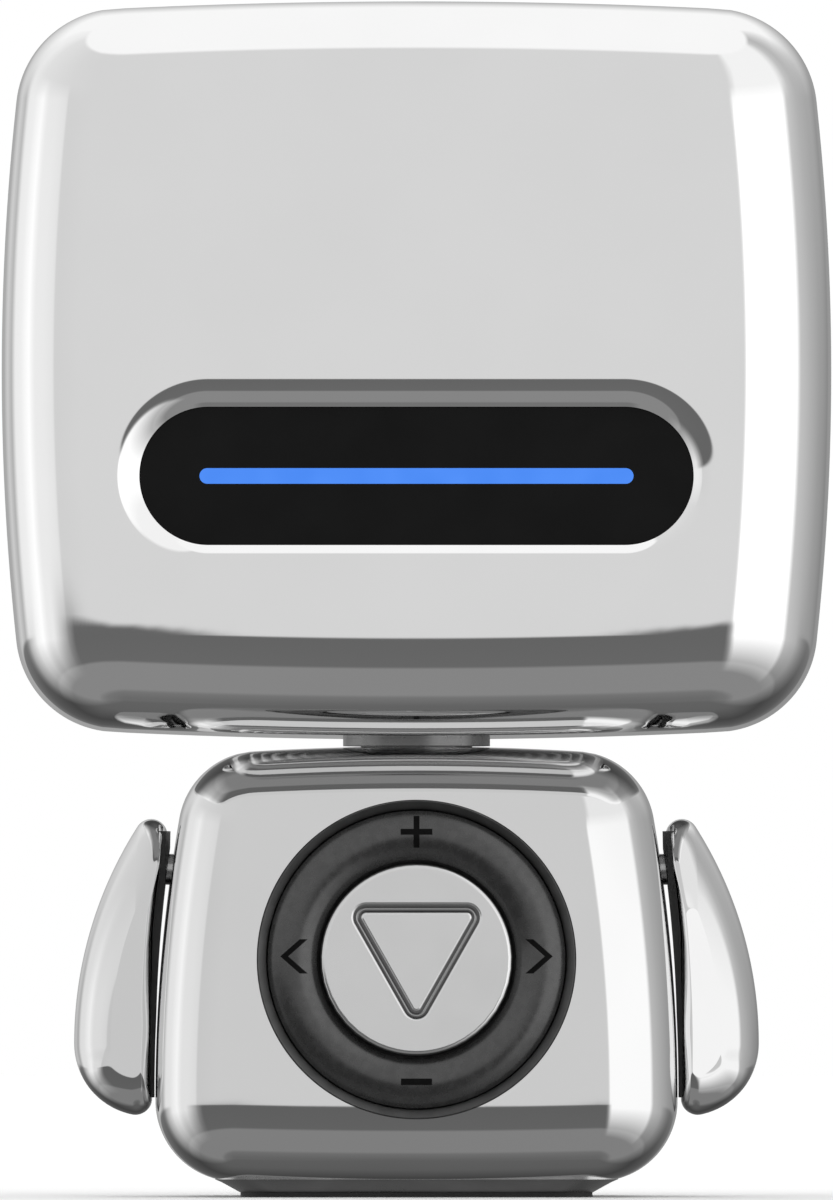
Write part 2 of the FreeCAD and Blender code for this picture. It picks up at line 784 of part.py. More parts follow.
def neck():
    flange_z = dim("neck_flange_z")
    torso_top = dim("torso_mid_z") + dim("torso_half_z")
    shoulder_z = torso_top + 0.03
    end_z = dim("neck_end_z")
    bore = dim("neck_bore")
    shaft = dim("neck_shaft")
    groove = shaft - 0.65
    node_body = turned(
        "spindle",
        "z",
        (0, 0, 0),
        [
            (bore, end_z),
            (shaft, end_z),
            (shaft, CLIP_TOP_Z - CLIP_THICKNESS - 0.05),
            (groove, CLIP_TOP_Z - CLIP_THICKNESS - 0.05),
            (groove, CLIP_TOP_Z + 0.05),
            (shaft, CLIP_TOP_Z + 0.05),
            (shaft, shoulder_z),
            (dim("neck_radius"), shoulder_z),
            (dim("neck_radius"), flange_z),
            (dim("neck_flange"), flange_z),
            (dim("neck_flange"), flange_z + 1.2),
            (bore, flange_z + 1.2),
        ],
    )
    ways = [
        cylinder(f"flange_way_{angle}", "z", (*on_circle(NECK_SCREW_CIRCLE, angle), flange_z - 1), 0.7, 4)
        for angle in NECK_SCREW_ANGLES
    ]
    node(cut("spindle_cut", node_body, *ways), "neck_spindle")
    screws = [
        screw(
            f"neck_screw_{angle}",
            "z",
            (*on_circle(NECK_SCREW_CIRCLE, angle), flange_z + 1.2),
            dim("small_shank"),
            dim("small_head"),
            2.7,
            0.8,
        )
        for angle in NECK_SCREW_ANGLES
    ]
    node(group("neck_screw_set", *screws), "neck_screws")
    clip_z = CLIP_TOP_Z - CLIP_THICKNESS
    ring = cylinder("clip_ring", "z", (0, 0, clip_z), 4.0, CLIP_THICKNESS)
    lug = box("clip_lug", (-1, 3.3, clip_z), (1, 6, CLIP_TOP_Z))
    bore_cut = cylinder("clip_bore", "z", (0, 0, clip_z - 1), groove + 0.03, 3)
    mouth = box("clip_mouth", (-1.2, -7, clip_z - 1), (1.2, -2, CLIP_TOP_Z + 1))
    node(cut_fused("clip", fuse("clip_solid", ring, lug), bore_cut, mouth), "neck_clip")
    node(
        turned(
            "bush",
            "z",
            (0, 0, 0),
            [
                (shaft + dim("running_gap"), CLIP_TOP_Z + 0.1),
                (BUSH_RADIUS, CLIP_TOP_Z + 0.1),
                (BUSH_RADIUS, torso_top - 0.52),
                (5.2, torso_top - 0.52),
                (5.2, torso_top - 0.12),
                (shaft + dim("running_gap"), torso_top - 0.12),
            ],
        ),
        "neck_bush",
    )


def harness():
    """The cable from the torso up the hollow neck to the lamp board, held all the way."""
    radius = 0.8
    bend = 6.0
    start = FreeCAD.Vector(0, 0, 22.8)
    corner_z = DIMENSIONS["visor_z"] - 1
    board_back = LAMP_BOARD_DEPTH + LAMP_BOARD_THICKNESS - DIMENSIONS["head_half_y"]
    before = FreeCAD.Vector(0, 0, corner_z - bend)
    middle = FreeCAD.Vector(0, -bend * (1 - math.cos(math.radians(45))), 0)
    middle.z = corner_z - bend + bend * math.sin(math.radians(45))
    after = FreeCAD.Vector(0, -bend, corner_z)
    end = FreeCAD.Vector(0, board_back, corner_z)
    path = Part.Wire(
        [
            Part.LineSegment(start, before).toShape(),
            Part.Arc(before, middle, after).toShape(),
            Part.LineSegment(after, end).toShape(),
        ]
    )
    section = Part.Wire([Part.Circle(start, FreeCAD.Vector(0, 0, 1), radius).toShape()])
    cable = doc.addObject("Part::Feature", "cable")
    cable.Shape = path.makePipeShell([section], True, False)
    node(cable, "head_harness")


# ---------------------------------------------------------------- torso


TORSO_SCREW_SPOTS = [(11.8 * side, 3.4) for side in MIRROR_SIDES]
TORSO_SCREW_SPOTS += [(10.6 * side, 26.2) for side in MIRROR_SIDES]
TORSO_SCREW_SEAT_Y = 7.7
TORSO_POST_START_Y = -3.2
BOARD_SCREW_SPOTS = [(11 * side, z) for side in MIRROR_SIDES for z in (5.3, 25.2)]
FOOT_SCREW_X = 8.5
FOOT_SEAT_Z = 2.5
FOOT_STUD = 0.95
CHARGE_BOARD_Z = 3.85
STOP_ANGLES = (90 - 108, 90 + 108)


def torso_shells():
    front_blank, rear_blank, outer = split_casing("torso")
    split = dim("torso_split_y")
    top = dim("torso_mid_z") + dim("torso_half_z")
    floor = dim("torso_mid_z") - dim("torso_half_z")
    board_y = dim("board_y")
    pilot = dim("small_shank") + dim("pilot_gap")
    bush_z = as_size(CLIP_TOP_Z + 0.1)
    grown = [front_blank]
    grown.append(cylinder("neck_boss", "z", (0, 0, bush_z), 6.3, top - 0.6 - bush_z))
    for angle in STOP_ANGLES:
        at = on_circle(5.5, angle)
        grown.append(cylinder(f"neck_stop_{angle}", "z", (*at, CLIP_TOP_Z - 0.9), 0.65, 1.5))
    for number, (x, z) in enumerate(BOARD_SCREW_SPOTS):
        # the upper posts start nearer, because the wall curves away at the shoulders
        start = 9.2 if z > DIMENSIONS["pad_z"] else 9.8
        grown.append(cylinder(f"board_boss_{number}", "y", (x, -start, z), 1.5, board_y + start))
    for number, (x, z) in enumerate(TORSO_SCREW_SPOTS):
        post_at = (x, TORSO_POST_START_Y, z)
        grown.append(cylinder(f"torso_boss_{number}", "y", post_at, 1.6, split - TORSO_POST_START_Y))
    for number, side in enumerate(MIRROR_SIDES):
        start = 13.3 if side > 0 else -15.2
        at = (start, 0, dim("shoulder_z"))
        grown.append(cylinder(f"shoulder_boss_{number}", "x", at, 2.2, 1.9))
        foot_at = (FOOT_SCREW_X * side, 0, floor + 0.7)
        grown.append(cylinder(f"foot_boss_{number}", "z", foot_at, 2.0, FOOT_SEAT_Z - floor - 0.7))
        rest_at = (5.5 * side, 3, floor + 0.7)
        rest_height = as_size(CHARGE_BOARD_Z) - floor - 0.7
        grown.append(cylinder(f"charge_rest_{number}", "z", rest_at, 0.9, rest_height))
    solid = fuse("torso_front_grown", *grown)
    cuts = [cylinder("neck_bore_cut", "z", (0, 0, bush_z - 1), BUSH_RADIUS, 9)]
    rooms = [cylinder("bush_seat_cut", "z", (0, 0, top - 0.52), 5.25, 3)]
    pad_at = (0, -15, dim("pad_z"))
    cuts.append(cylinder("pad_cut", "y", pad_at, dim("bezel_radius") + 0.02, 8))
    pocket_at = (0, -9.45, dim("pad_z"))
    rooms.append(cylinder("pad_pocket", "y", pocket_at, dim("bezel_radius") + 1.06, 2.35))
    for number, (x, z) in enumerate(BOARD_SCREW_SPOTS):
        cuts.append(cylinder(f"board_pilot_{number}", "y", (x, board_y - 3.5, z), pilot, 5))
    for number, (x, z) in enumerate(TORSO_SCREW_SPOTS):
        cuts.append(cylinder(f"torso_pilot_{number}", "y", (x, split - 6, z), pilot, 8))
        rooms.append(cylinder(f"torso_tube_room_{number}", "y", (x, split + 0.05, z), 1.75, 3))
    shoulder_bore = dim("shoulder_radius") + dim("running_gap")
    cuts.append(cylinder("shoulder_cut", "x", (-20, 0, dim("shoulder_z")), shoulder_bore, 7.5))
    cuts.append(cylinder("shoulder_cut_right", "x", (12.5, 0, dim("shoulder_z")), shoulder_bore, 7.5))
    for number, side in enumerate(MIRROR_SIDES):
        foot_at = (FOOT_SCREW_X * side, 0, floor - 1)
        cuts.append(cylinder(f"foot_hole_{number}", "z", foot_at, FOOT_STUD + 0.05, 4))
    bored = cut("torso_front_bored", solid, *cuts)
    finished = cut("torso_front", bored, *rooms)
    for step in (bored, finished):
        # merging the faces of this shell fails, so they stay split
        step.Refine = False
    node(finished, "torso_front_shell")
    torso_rear(rear_blank)
    return outer


def torso_rear(rear_blank):
    split = dim("torso_split_y")
    gap = dim("parting_gap")
    grown = [rear_blank]
    cuts = []
    for number, (x, z) in enumerate(TORSO_SCREW_SPOTS):
        grown.append(cylinder(f"torso_tube_{number}", "y", (x, split + gap, z), 1.7, 1.6))
        way = dim("small_shank") + 0.12
        cuts.append(cylinder(f"torso_way_{number}", "y", (x, split - 1, z), way, 6))
        sink = dim("small_head") + 0.2
        cuts.append(cylinder(f"torso_sink_{number}", "y", (x, TORSO_SCREW_SEAT_Y, z), sink, 6))
    solid = fuse("torso_rear_grown", *grown)
    port = stadium("port_cut", (0, 6.4), 4.65, 1.78, 8, 13)
    cuts.append(port)
    node(cut_fused("torso_rear", solid, *cuts), "torso_rear_shell")


def torso_screws():
    screws = [
        screw(
            f"torso_screw_{number}",
            "y",
            (x, TORSO_SCREW_SEAT_Y, z),
            dim("small_shank"),
            dim("small_head"),
            6,
            0.8,
        )
        for number, (x, z) in enumerate(TORSO_SCREW_SPOTS)
    ]
    node(group("torso_screw_set", *screws), "torso_screws")


def bezel():
    """Sloping trim ring around the pad, with a flange that sits behind the wall."""
    outer = dim("bezel_radius")
    node(
        turned(
            "bezel_turned",
            "y",
            (0, 0, dim("pad_z")),
            [
                (dim("bezel_bore"), -10.3),
                (outer - 0.06, -10.88),
                (outer, -10.82),
                (outer, -9.42),
                (outer + 1.0, -9.42),
                (outer + 1.0, -9.0),
                (dim("bezel_bore"), -9.0),
            ],
        ),
        "control_bezel",
    )


def ring_crown(name, sink):
    """The ring's solid: an annulus whose front is domed, lowered by sink."""
    z = dim("pad_z")
    inner = dim("ring_inner")
    outer = dim("ring_outer")
    crown = dim("ring_crown")
    rear = dim("ring_rear_y")
    middle = (inner + outer) * 0.5
    half_width = (DIMENSIONS["ring_outer"] - DIMENSIONS["ring_inner"]) * 0.5
    rise = DIMENSIONS["ring_crown"]
    bow = as_size((half_width**2 + rise**2) / (2 * rise))
    top = dim("ring_edge_y") - crown + sink
    dome = torus(f"{name}_dome", "y", (0, top + bow, z), middle, bow)
    band = tube(f"{name}_band", "y", (0, top - 1, z), outer, inner, rear - top + 1)
    return common(name, band, dome)


def control_marks():
    """Prisms for the plus, the minus and the two arrow heads."""
    z = dim("pad_z")
    half = dim("mark_stroke") * 0.5
    front = -12
    back = -9.8
    plus_z = z + 8.2
    minus_z = z - 7.85
    reach = 1.02
    plus = fuse(
        "mark_plus",
        box("plus_across", (-reach, front, plus_z - half), (reach, back, plus_z + half)),
        box("plus_up", (-half, front, plus_z - reach), (half, back, plus_z + reach)),
    )
    minus = box("mark_minus", (-1, front, minus_z - half * 1.1), (1, back, minus_z + half * 1.1))
    marks = [plus, minus]
    for name, side in (("previous", -1), ("next", 1)):
        tip = 8.75
        tail = 7.5
        rise = 1.1
        thick = dim("mark_stroke") * 1.35
        corners = [
            (side * tip, z + 0.2),
            (side * tail, z + 0.2 + rise),
            (side * (tail - thick), z + 0.2 + rise),
            (side * (tip - thick), z + 0.2),
            (side * (tail - thick), z + 0.2 - rise),
            (side * tail, z + 0.2 - rise),
        ]
        marks.append(extruded(f"mark_{name}", corners, front, back - front))
    return group("mark_prisms", *marks)


def control_ring():
    blank = ring_crown("ring_blank", 0)
    skin = cut("ring_skin", ring_crown("ring_top", 0), ring_crown("ring_low", dim("mark_depth")))
    marks = common("ring_inlay", skin, control_marks())
    z = dim("pad_z")
    rear = dim("ring_rear_y")
    gimbal_y = dim("gimbal_y")
    legs = []
    bores = []
    for number, side in enumerate(MIRROR_SIDES):
        low_z = 7.35 if side > 0 else -7.95
        lug = box(
            f"ring_lug_{number}",
            (-0.7, rear - 0.2, z + low_z),
            (0.7, gimbal_y + 0.5, z + low_z + 0.6),
        )
        legs.append(lug)
        bores.append(
            cylinder(f"ring_lug_bore_{number}", "z", (0, gimbal_y, z + low_z - 0.3), 0.3, 1.2)
        )
    for angle in (0, 90, 180, 270):
        x, up = on_circle(8.95, angle)
        legs.append(cylinder(f"ring_leg_{angle}", "y", (x, rear - 0.2, z + up), 0.45, 2.15))
    solid = fuse("ring_solid", cut("ring_pocketed", blank, marks), *legs)
    node(cut("ring_cut", solid, *bores), "control_ring")
    doc.recompute()
    node(marks, "ring_marks")


def gimbal():
    z = dim("pad_z")
    y = dim("gimbal_y")
    ring = tube("gimbal_ring", "y", (0, y - 0.25, z), 7.1, 6.3, 0.5)
    pins = []
    for number, side in enumerate(MIRROR_SIDES):
        start = 6.9 if side > 0 else -7.85
        pins.append(cylinder(f"gimbal_pin_x_{number}", "x", (start, y, z), 0.25, 0.95))
        pins.append(cylinder(f"gimbal_pin_z_{number}", "z", (0, y, z + start), 0.25, 0.95))
    node(fuse("gimbal_solid", ring, *pins), "rocker_gimbal")


# corners of the middle line of the button's triangular groove, from the middle of the pad
TRIANGLE_TOP = 3.28
TRIANGLE_HALF = 4.22
TRIANGLE_TIP = -4.16


def triangle(name, inset, roll, start_y, end_y):
    """A prism on a triangle that points down, its sides moved inwards by inset."""
    z = dim("pad_z")
    height = TRIANGLE_TOP - TRIANGLE_TIP
    side_length = math.hypot(TRIANGLE_HALF, height)
    lean = TRIANGLE_HALF / height
    # moving a slanted side inwards shifts it sideways by inset times side length over height
    shift = inset * side_length / height
    half = TRIANGLE_HALF - shift - inset * lean
    tip = TRIANGLE_TIP + shift / lean
    corners = [(-half, z + TRIANGLE_TOP - inset), (half, z + TRIANGLE_TOP - inset), (0, z + tip)]
    prism = extruded(f"{name}_prism", corners, start_y, end_y - start_y)
    def upright(edge):
        run = edge.Vertexes[1].Point - edge.Vertexes[0].Point
        return abs(run.normalize().y) > 0.99

    return fillet(name, prism, as_size(roll), upright)


def button():
    z = dim("pad_z")
    face = dim("button_face_y")
    radius = dim("button_radius")
    cap = cylinder("button_cap", "y", (0, face, z), radius, 1.45)

    def front_rim(edge):
        return edge.BoundBox.YMax < DIMENSIONS["button_face_y"] + 0.01

    rolled = fillet("button_rolled", cap, as_size(0.35), front_rim)
    stem = cylinder("button_stem", "y", (0, face + 1.2, z), 1.3, 2.2)
    half_groove = 0.3
    corner_roll = 0.58
    groove_floor = DIMENSIONS["button_face_y"] + 0.3
    groove = cut(
        "button_groove",
        triangle("triangle_outer", -half_groove, corner_roll + half_groove, -12, groove_floor),
        triangle("triangle_inner", half_groove, corner_roll - half_groove, -13, groove_floor + 1),
    )
    node(cut("button_cut", fuse("button_solid", rolled, stem), groove), "center_button")


def keypad():
    z = dim("pad_z")
    y = dim("keypad_y")
    plate = cylinder("keypad_plate", "y", (0, y, z), 10.9, 0.4)
    sleeve = cylinder("keypad_sleeve", "y", (0, y - 1.3, z), 2.3, 1.5)
    rim = tube("keypad_rim", "y", (0, -9.0, z), 11.2, 10.2, 9.0 + y + 0.4)
    legs = []
    for angle in (45, 135, 225, 315):
        x, up = on_circle(10.4, angle)
        leg_at = (x, y + 0.2, z + up)
        legs.append(cylinder(f"keypad_leg_{angle}", "y", leg_at, 0.6, dim("board_y") - y - 0.2))
    posts = []
    bores = [cylinder("sleeve_bore", "y", (0, y - 3, z), 1.35, 5)]
    for number, side in enumerate(MIRROR_SIDES):
        low_x = 7.35 if side > 0 else -7.95
        posts.append(
            box(f"keypad_post_{number}", (low_x, -9.05, z - 0.7), (low_x + 0.6, y + 0.2, z + 0.7))
        )
        at = (low_x - 0.3, dim("gimbal_y"), z)
        bores.append(cylinder(f"keypad_post_bore_{number}", "x", at, 0.3, 1.2))
    for angle in (0, 90, 180, 270):
        x, up = on_circle(8.95, angle)
        bores.append(cylinder(f"keypad_way_{angle}", "y", (x, y - 0.5, z + up), 0.9, 1.4))
    solid = fuse("keypad_solid", plate, sleeve, rim, *legs, *posts)
    node(cut("keypad_cut", solid, *bores), "keypad_frame")
    membrane = cylinder("membrane_disc", "y", (0, y + 0.4, z), 9.6, 0.5)
    node(membrane, "keypad_membrane")


def electronics():
    y = dim("board_y")
    z = dim("pad_z")
    board = rounded_box("board_blank", "y", (-12.4, y, 4), (12.4, y + 1, 26.5), 2.5)
    ways = [
        cylinder(f"board_way_{number}", "y", (x, y - 1, at_z), 0.7, 3)
        for number, (x, at_z) in enumerate(BOARD_SCREW_SPOTS)
    ]
    notch = box("board_notch", (-5.4, y - 1, 25.4), (5.4, y + 2, 28))
    node(cut("board_cut", board, notch, *ways), "main_board")
    spots = [(0, 0)] + [on_circle(8.9, angle) for angle in (0, 90, 180, 270)]
    switches = []
    for number, (x, up) in enumerate(spots):
        base = box(
            f"switch_base_{number}",
            (x - 1.2, y - 1, z + up - 1.2),
            (x + 1.2, y, z + up + 1.2),
        )
        key = cylinder(f"switch_key_{number}", "y", (x, y - 1.45, z + up), 0.8, 0.6)
        switches.append(fuse(f"switch_{number}", base, key))
    node(group("switch_set", *switches), "tact_switches")
    chips = [
        box("chip_radio", (-5, y + 1, 11), (1, y + 1.9, 17)),
        box("chip_amp", (3.5, y + 1, 13), (7.5, y + 1.8, 17)),
        box("chip_memory", (3.5, y + 1, 7), (8.5, y + 1.7, 11)),
        box("chip_crystal", (-9, y + 1, 8), (-6.5, y + 1.9, 10)),
        box("chip_coil", (-10.5, y + 1, 13), (-7, y + 2.0, 16.5)),
    ]
    node(group("chip_set", *chips), "board_chips")
    plug = box("socket_body", (-2.5, y + 1, 20.2), (2.5, 1.8, 22.6))
    node(plug, "harness_socket")
    screws = [
        screw(
            f"board_screw_{number}",
            "y",
            (x, y + 1, at_z),
            dim("small_shank"),
            dim("small_head"),
            3.8,
            0.7,
        )
        for number, (x, at_z) in enumerate(BOARD_SCREW_SPOTS)
    ]
    node(group("board_screw_set", *screws), "board_screws")
    node(rounded_box("cell", "z", (-9.9, -2.9, 8.9), (9.9, 2.5, 19.6), 1.2), "battery_cell")
    charge = box("charge_plate", (-7, 0, CHARGE_BOARD_Z), (7, 8.6, CHARGE_BOARD_Z + 0.8))
    node(charge, "charge_board")


def usb_port():
    """A small reversible charging socket: a folded shell with a tongue, open to the rear."""
    z = 6.4
    start = 3.4
    mouth = 10.72
    shell = stadium("port_shell", (0, z), as_size(4.47), as_size(1.6), start, mouth)
    hollow = stadium("port_hollow", (0, z), as_size(4.17), as_size(1.3), start + 0.8, mouth + 1)
    tongue = box("port_tongue", (-3.35, start + 0.4, z - 0.35), (3.35, mouth - 0.7, z + 0.35))
    feet = box("port_feet", (-4, start, 4.65), (4, mouth - 2, 5.2))
    shell_feet = fuse("port_body", shell, feet)
    node(fuse("port_all", cut("port_open", shell_feet, hollow), tongue), "usb_port")


# ---------------------------------------------------------------- foot


def foot(torso_outer):
    pad = dim("foot_pad_thickness")
    rim_z = dim("foot_rim_z")
    half_x = dim("foot_half_x")
    half_y = dim("foot_half_y")
    toe_x = dim("foot_toe_x")
    toe_y = dim("foot_toe_y")
    tiers = []
    # three stacked plates make the step-shaped flare from the sole up to the torso
    levels = ((0, pad, rim_z), (0.4, pad + 0.22, rim_z), (1, rim_z - 0.25, 3))
    for number, (share, low, high) in enumerate(levels):
        x = toe_x + (half_x - toe_x) * share
        y = toe_y + (half_y - toe_y) * share
        tiers.append(rounded_box(f"foot_tier_{number}", "z", (-x, -y, low), (x, y, high), 2.4))
    shaped = cut("foot_shaped", fuse("foot_blank", *tiers), torso_outer)
    studs = []
    pilots = []
    screws = []
    pilot = dim("small_shank") + dim("pilot_gap")
    stud_foot = pad + 0.2
    stud_top = 1.95
    for number, side in enumerate(MIRROR_SIDES):
        x = FOOT_SCREW_X * side
        studs.append(cylinder(f"foot_stud_{number}", "z", (x, 0, stud_foot), FOOT_STUD, stud_top - stud_foot))
        pilots.append(cylinder(f"foot_pilot_{number}", "z", (x, 0, pad + 0.4), pilot, 3))
        screws.append(
            screw(
                f"foot_screw_{number}",
                "z",
                (x, 0, FOOT_SEAT_Z),
                dim("small_shank"),
                dim("screw_head"),
                1.7,
                0.8,
            )
        )
    node(cut("foot_cut", fuse("foot_grown", shaped, *studs), *pilots), "foot_plate")
    inset = 0.15
    low = (inset - toe_x, inset - toe_y, 0)
    node(rounded_box("rubber", "z", low, (toe_x - inset, toe_y - inset, pad), 2.3), "foot_pad")
    node(group("foot_screw_set", *screws), "foot_screws")


# ---------------------------------------------------------------- arms


def arm_blank(name, inset, inner_inset):
    """Left arm as a half-drop: flat ends, long bowed outer side, nearly straight inner side."""
    half_y = dim("arm_half_y") - inset
    middle_z = dim("arm_middle_z")
    outer_x = dim("arm_outer_x")
    upper = dim("arm_upper_bow")
    lower = dim("arm_lower_bow")
    inner_bow = dim("arm_inner_bow")
    reach = 40
    over = 5
    inner_at = (inner_bow - dim("arm_inner_x"), -half_y - over, dim("arm_inner_z"))
    top = box(f"{name}_top_space", (-reach, -reach, middle_z), (reach, reach, middle_z + reach))
    low = box(f"{name}_low_space", (-reach, -reach, middle_z - reach), (reach, reach, middle_z))
    halves = []
    for part, bow, space in (("upper", upper, top), ("lower", lower, low)):
        at = (bow - outer_x, -half_y, middle_z)
        disc = cylinder(f"{name}_{part}_disc", "y", at, bow - inset, half_y * 2)
        halves.append(common(f"{name}_{part}", disc, space))
    core = cylinder(f"{name}_core", "y", inner_at, inner_bow + inner_inset, (half_y + over) * 2)
    return cut(f"{name}_sharp", fuse(f"{name}_sum", *halves), core)


def from_inner_face(point):
    """How far a point lies outside the curve of the left arm's inner side."""
    bow = DIMENSIONS["arm_inner_bow"]
    across = point.x - (bow - DIMENSIONS["arm_inner_x"])
    return math.hypot(across, point.z - DIMENSIONS["arm_inner_z"]) - bow


def edge_points(edge):
    run = edge.LastParameter - edge.FirstParameter
    return [edge.valueAt(edge.FirstParameter + run * share) for share in (0.1, 0.5, 0.9)]


def arm_corner(edge):
    """The front-to-back edges at the top and the bottom, where the two bowed sides meet."""
    points = edge_points(edge)
    across = abs(points[0].y - points[2].y) > DIMENSIONS["arm_half_y"]
    return across and all(abs(from_inner_face(at)) < 0.01 for at in points)


def arm_rim(edge):
    """The edges round the flat front and the flat back."""
    return all(abs(abs(at.y) - DIMENSIONS["arm_half_y"]) < 0.01 for at in edge_points(edge))


def arm_skin():
    """The outside of the arm: both tips rounded, then the front and back rims rolled over."""
    sharp = arm_blank("arm_skin", as_size(0), as_size(0))
    blunt = fillet("arm_blunt", sharp, dim("arm_tip"), arm_corner)
    return fillet("arm_soft", blunt, dim("arm_roll"), arm_rim)


def below_ceiling(name, blank, height):
    """Only the part of an arm blank that stays under the thick top of the shell."""
    reach = 40
    room = box(f"{name}_room", (-reach, -reach, -reach), (reach, reach, height))
    return common(name, blank, room)


def swung_torso(name, side):
    """The bow of the torso's left side as the arm meets it when swung level, with room to spare."""
    bow = dim("torso_bow_x")
    shoulder_z = dim("shoulder_z")
    drop = shoulder_z - dim("torso_wide_z")
    centre = (bow - dim("torso_half_x"), drop * side, shoulder_z)
    return sphere(name, centre, bow + dim("swing_room"))


def left_arm():
    """Plated outer shell, the liner that closes it, the pin it swings on and the pin's clip."""
    wall = 1.0
    fit = 0.03
    ceiling = dim("arm_ceiling_z")
    hollow = below_ceiling("arm_cavity", arm_blank("arm_hollow", as_size(wall), as_size(-2)), ceiling)
    passed = [swung_torso(f"swung_torso_{number}", side) for number, side in enumerate(MIRROR_SIDES)]
    shell = cut("arm_open", arm_skin(), hollow, *passed)
    shoulder_z = dim("shoulder_z")
    pin = dim("shoulder_radius")
    pin_end = -17.7
    pin_length = 5.5
    boss_length = 1.2
    inset = as_size(wall + fit)
    plate_blank = arm_blank("arm_plate_blank", inset, as_size(0.1))
    plate_front = below_ceiling("arm_plate_front", plate_blank, ceiling - fit)
    plate = cut("arm_plate", plate_front, arm_blank("arm_plate_back", inset, as_size(0.9)))
    boss_round = cylinder("arm_boss_round", "x", (pin_end, 0, shoulder_z), 1.7, boss_length)
    boss = common("arm_boss", boss_round, plate_front)
    bore = cylinder("arm_pin_bore", "x", (pin_end - 1, 0, shoulder_z), pin, pin_length + 2)
    liner = cut("arm_liner", fuse("arm_liner_solid", plate, boss), bore, *passed)
    rod = cylinder("arm_rod", "x", (pin_end, 0, shoulder_z), pin, pin_length)
    groove_at = (pin_end + pin_length - 0.9, 0, shoulder_z)
    groove = tube("arm_groove", "x", groove_at, pin + 1, pin - 0.3, 0.5)
    pin_piece = cut("arm_pin", rod, groove)
    clip_at = (groove_at[0] + 0.02, 0, shoulder_z)
    clip_ring = tube("arm_clip_ring", "x", clip_at, 1.9, pin - 0.27, 0.46)
    mouth_low = (groove_at[0] - 1, -0.6, shoulder_z)
    mouth = box("arm_clip_mouth", mouth_low, (groove_at[0] + 1.5, 0.6, shoulder_z + 3))
    clip = cut("arm_clip", clip_ring, mouth)
    return {
        "arm_{}_shell": shell,
        "arm_{}_liner": liner,
        "shoulder_pin_{}": pin_piece,
        "shoulder_clip_{}": clip,
    }


def arms():
    """The left arm and its mirror image on the right."""
    for label, piece in left_arm().items():
        node(piece, label.format("left"))
        twin = doc.addObject("Part::Mirroring", f"{piece.Name}_twin")
        twin.Source = piece
        twin.Normal = FreeCAD.Vector(1, 0, 0)
        node(twin, label.format("right"))


def build():
    fill_sheet()
    head_rear(head_front())
    visor_parts()
    grille()
    speaker()
    head_screws()
    neck()
    harness()
    torso_outer = torso_shells()
    torso_screws()
    bezel()
    control_ring()
    gimbal()
    button()
    keypad()
    electronics()
    usb_port()
    foot(torso_outer)
    arms()


def check_and_export():
    doc.recompute()
    faults = []
    for item in doc.Objects:
        if any(word in item.State for word in ("Invalid", "Error")):
            faults.append(f"{item.Label}: {item.State}")
    for item in NODES:
        if item.Shape.isNull() or not item.Shape.isValid():
            faults.append(f"{item.Label}: bad shape")
    if faults:
        raise SystemExit("\n".join(faults))
    os.makedirs("parts", exist_ok=True)
    for item in NODES:
        item.Shape.exportStep(f"parts/{item.Label}.step")
        print(item.Label, len(item.Shape.Solids), round(item.Shape.Volume, 2))


build()
check_and_export()
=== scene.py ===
import math

import bmesh
import bpy
import numpy as np
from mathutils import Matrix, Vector


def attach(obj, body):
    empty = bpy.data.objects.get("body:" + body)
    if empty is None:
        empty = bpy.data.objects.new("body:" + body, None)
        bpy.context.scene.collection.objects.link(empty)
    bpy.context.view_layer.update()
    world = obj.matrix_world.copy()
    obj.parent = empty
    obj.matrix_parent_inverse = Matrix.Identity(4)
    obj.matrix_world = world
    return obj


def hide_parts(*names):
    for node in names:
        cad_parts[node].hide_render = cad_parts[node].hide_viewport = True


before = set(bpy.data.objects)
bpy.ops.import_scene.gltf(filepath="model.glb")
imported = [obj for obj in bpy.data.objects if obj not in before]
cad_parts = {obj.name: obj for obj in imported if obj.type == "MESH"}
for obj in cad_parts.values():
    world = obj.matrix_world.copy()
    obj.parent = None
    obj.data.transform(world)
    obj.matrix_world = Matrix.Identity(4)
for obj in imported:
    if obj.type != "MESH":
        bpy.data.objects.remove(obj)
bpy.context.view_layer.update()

MM = 0.001


# ---------------------------------------------------------------- small node-tree helpers


def new_tree(block):
    block.use_nodes = True
    tree = block.node_tree
    tree.nodes.clear()
    return tree


def add(tree, kind, **values):
    """A node with its sockets and properties set by name; a tuple of (node, socket) makes a link."""
    made = tree.nodes.new(kind)
    for name, value in values.items():
        socket = name.replace("_", " ")
        if socket in made.inputs:
            if isinstance(value, tuple) and hasattr(value[0], "outputs"):
                tree.links.new(value[0].outputs[value[1]], made.inputs[socket])
            else:
                made.inputs[socket].default_value = value
        else:
            setattr(made, name, value)
    return made


def link(tree, source, output, target, socket):
    tree.links.new(source.outputs[output], target.inputs[socket])


def ramp(tree, factor, stops):
    """A colour ramp over a factor. A stop is a position and a grey or a colour."""
    made = tree.nodes.new("ShaderNodeValToRGB")
    tree.links.new(factor, made.inputs["Fac"])
    elements = made.color_ramp.elements
    while len(elements) > 1:
        elements.remove(elements[-1])
    for index, (position, value) in enumerate(stops):
        element = elements[0] if index == 0 else elements.new(position)
        element.position = position
        colour = value if isinstance(value, tuple) else (value, value, value)
        element.color = (*colour, 1.0)
    return made.outputs["Color"]


# ---------------------------------------------------------------- materials

# the part of a noise's range that holds nearly all of its values
NOISE_SPAN = (0.3, 0.7)


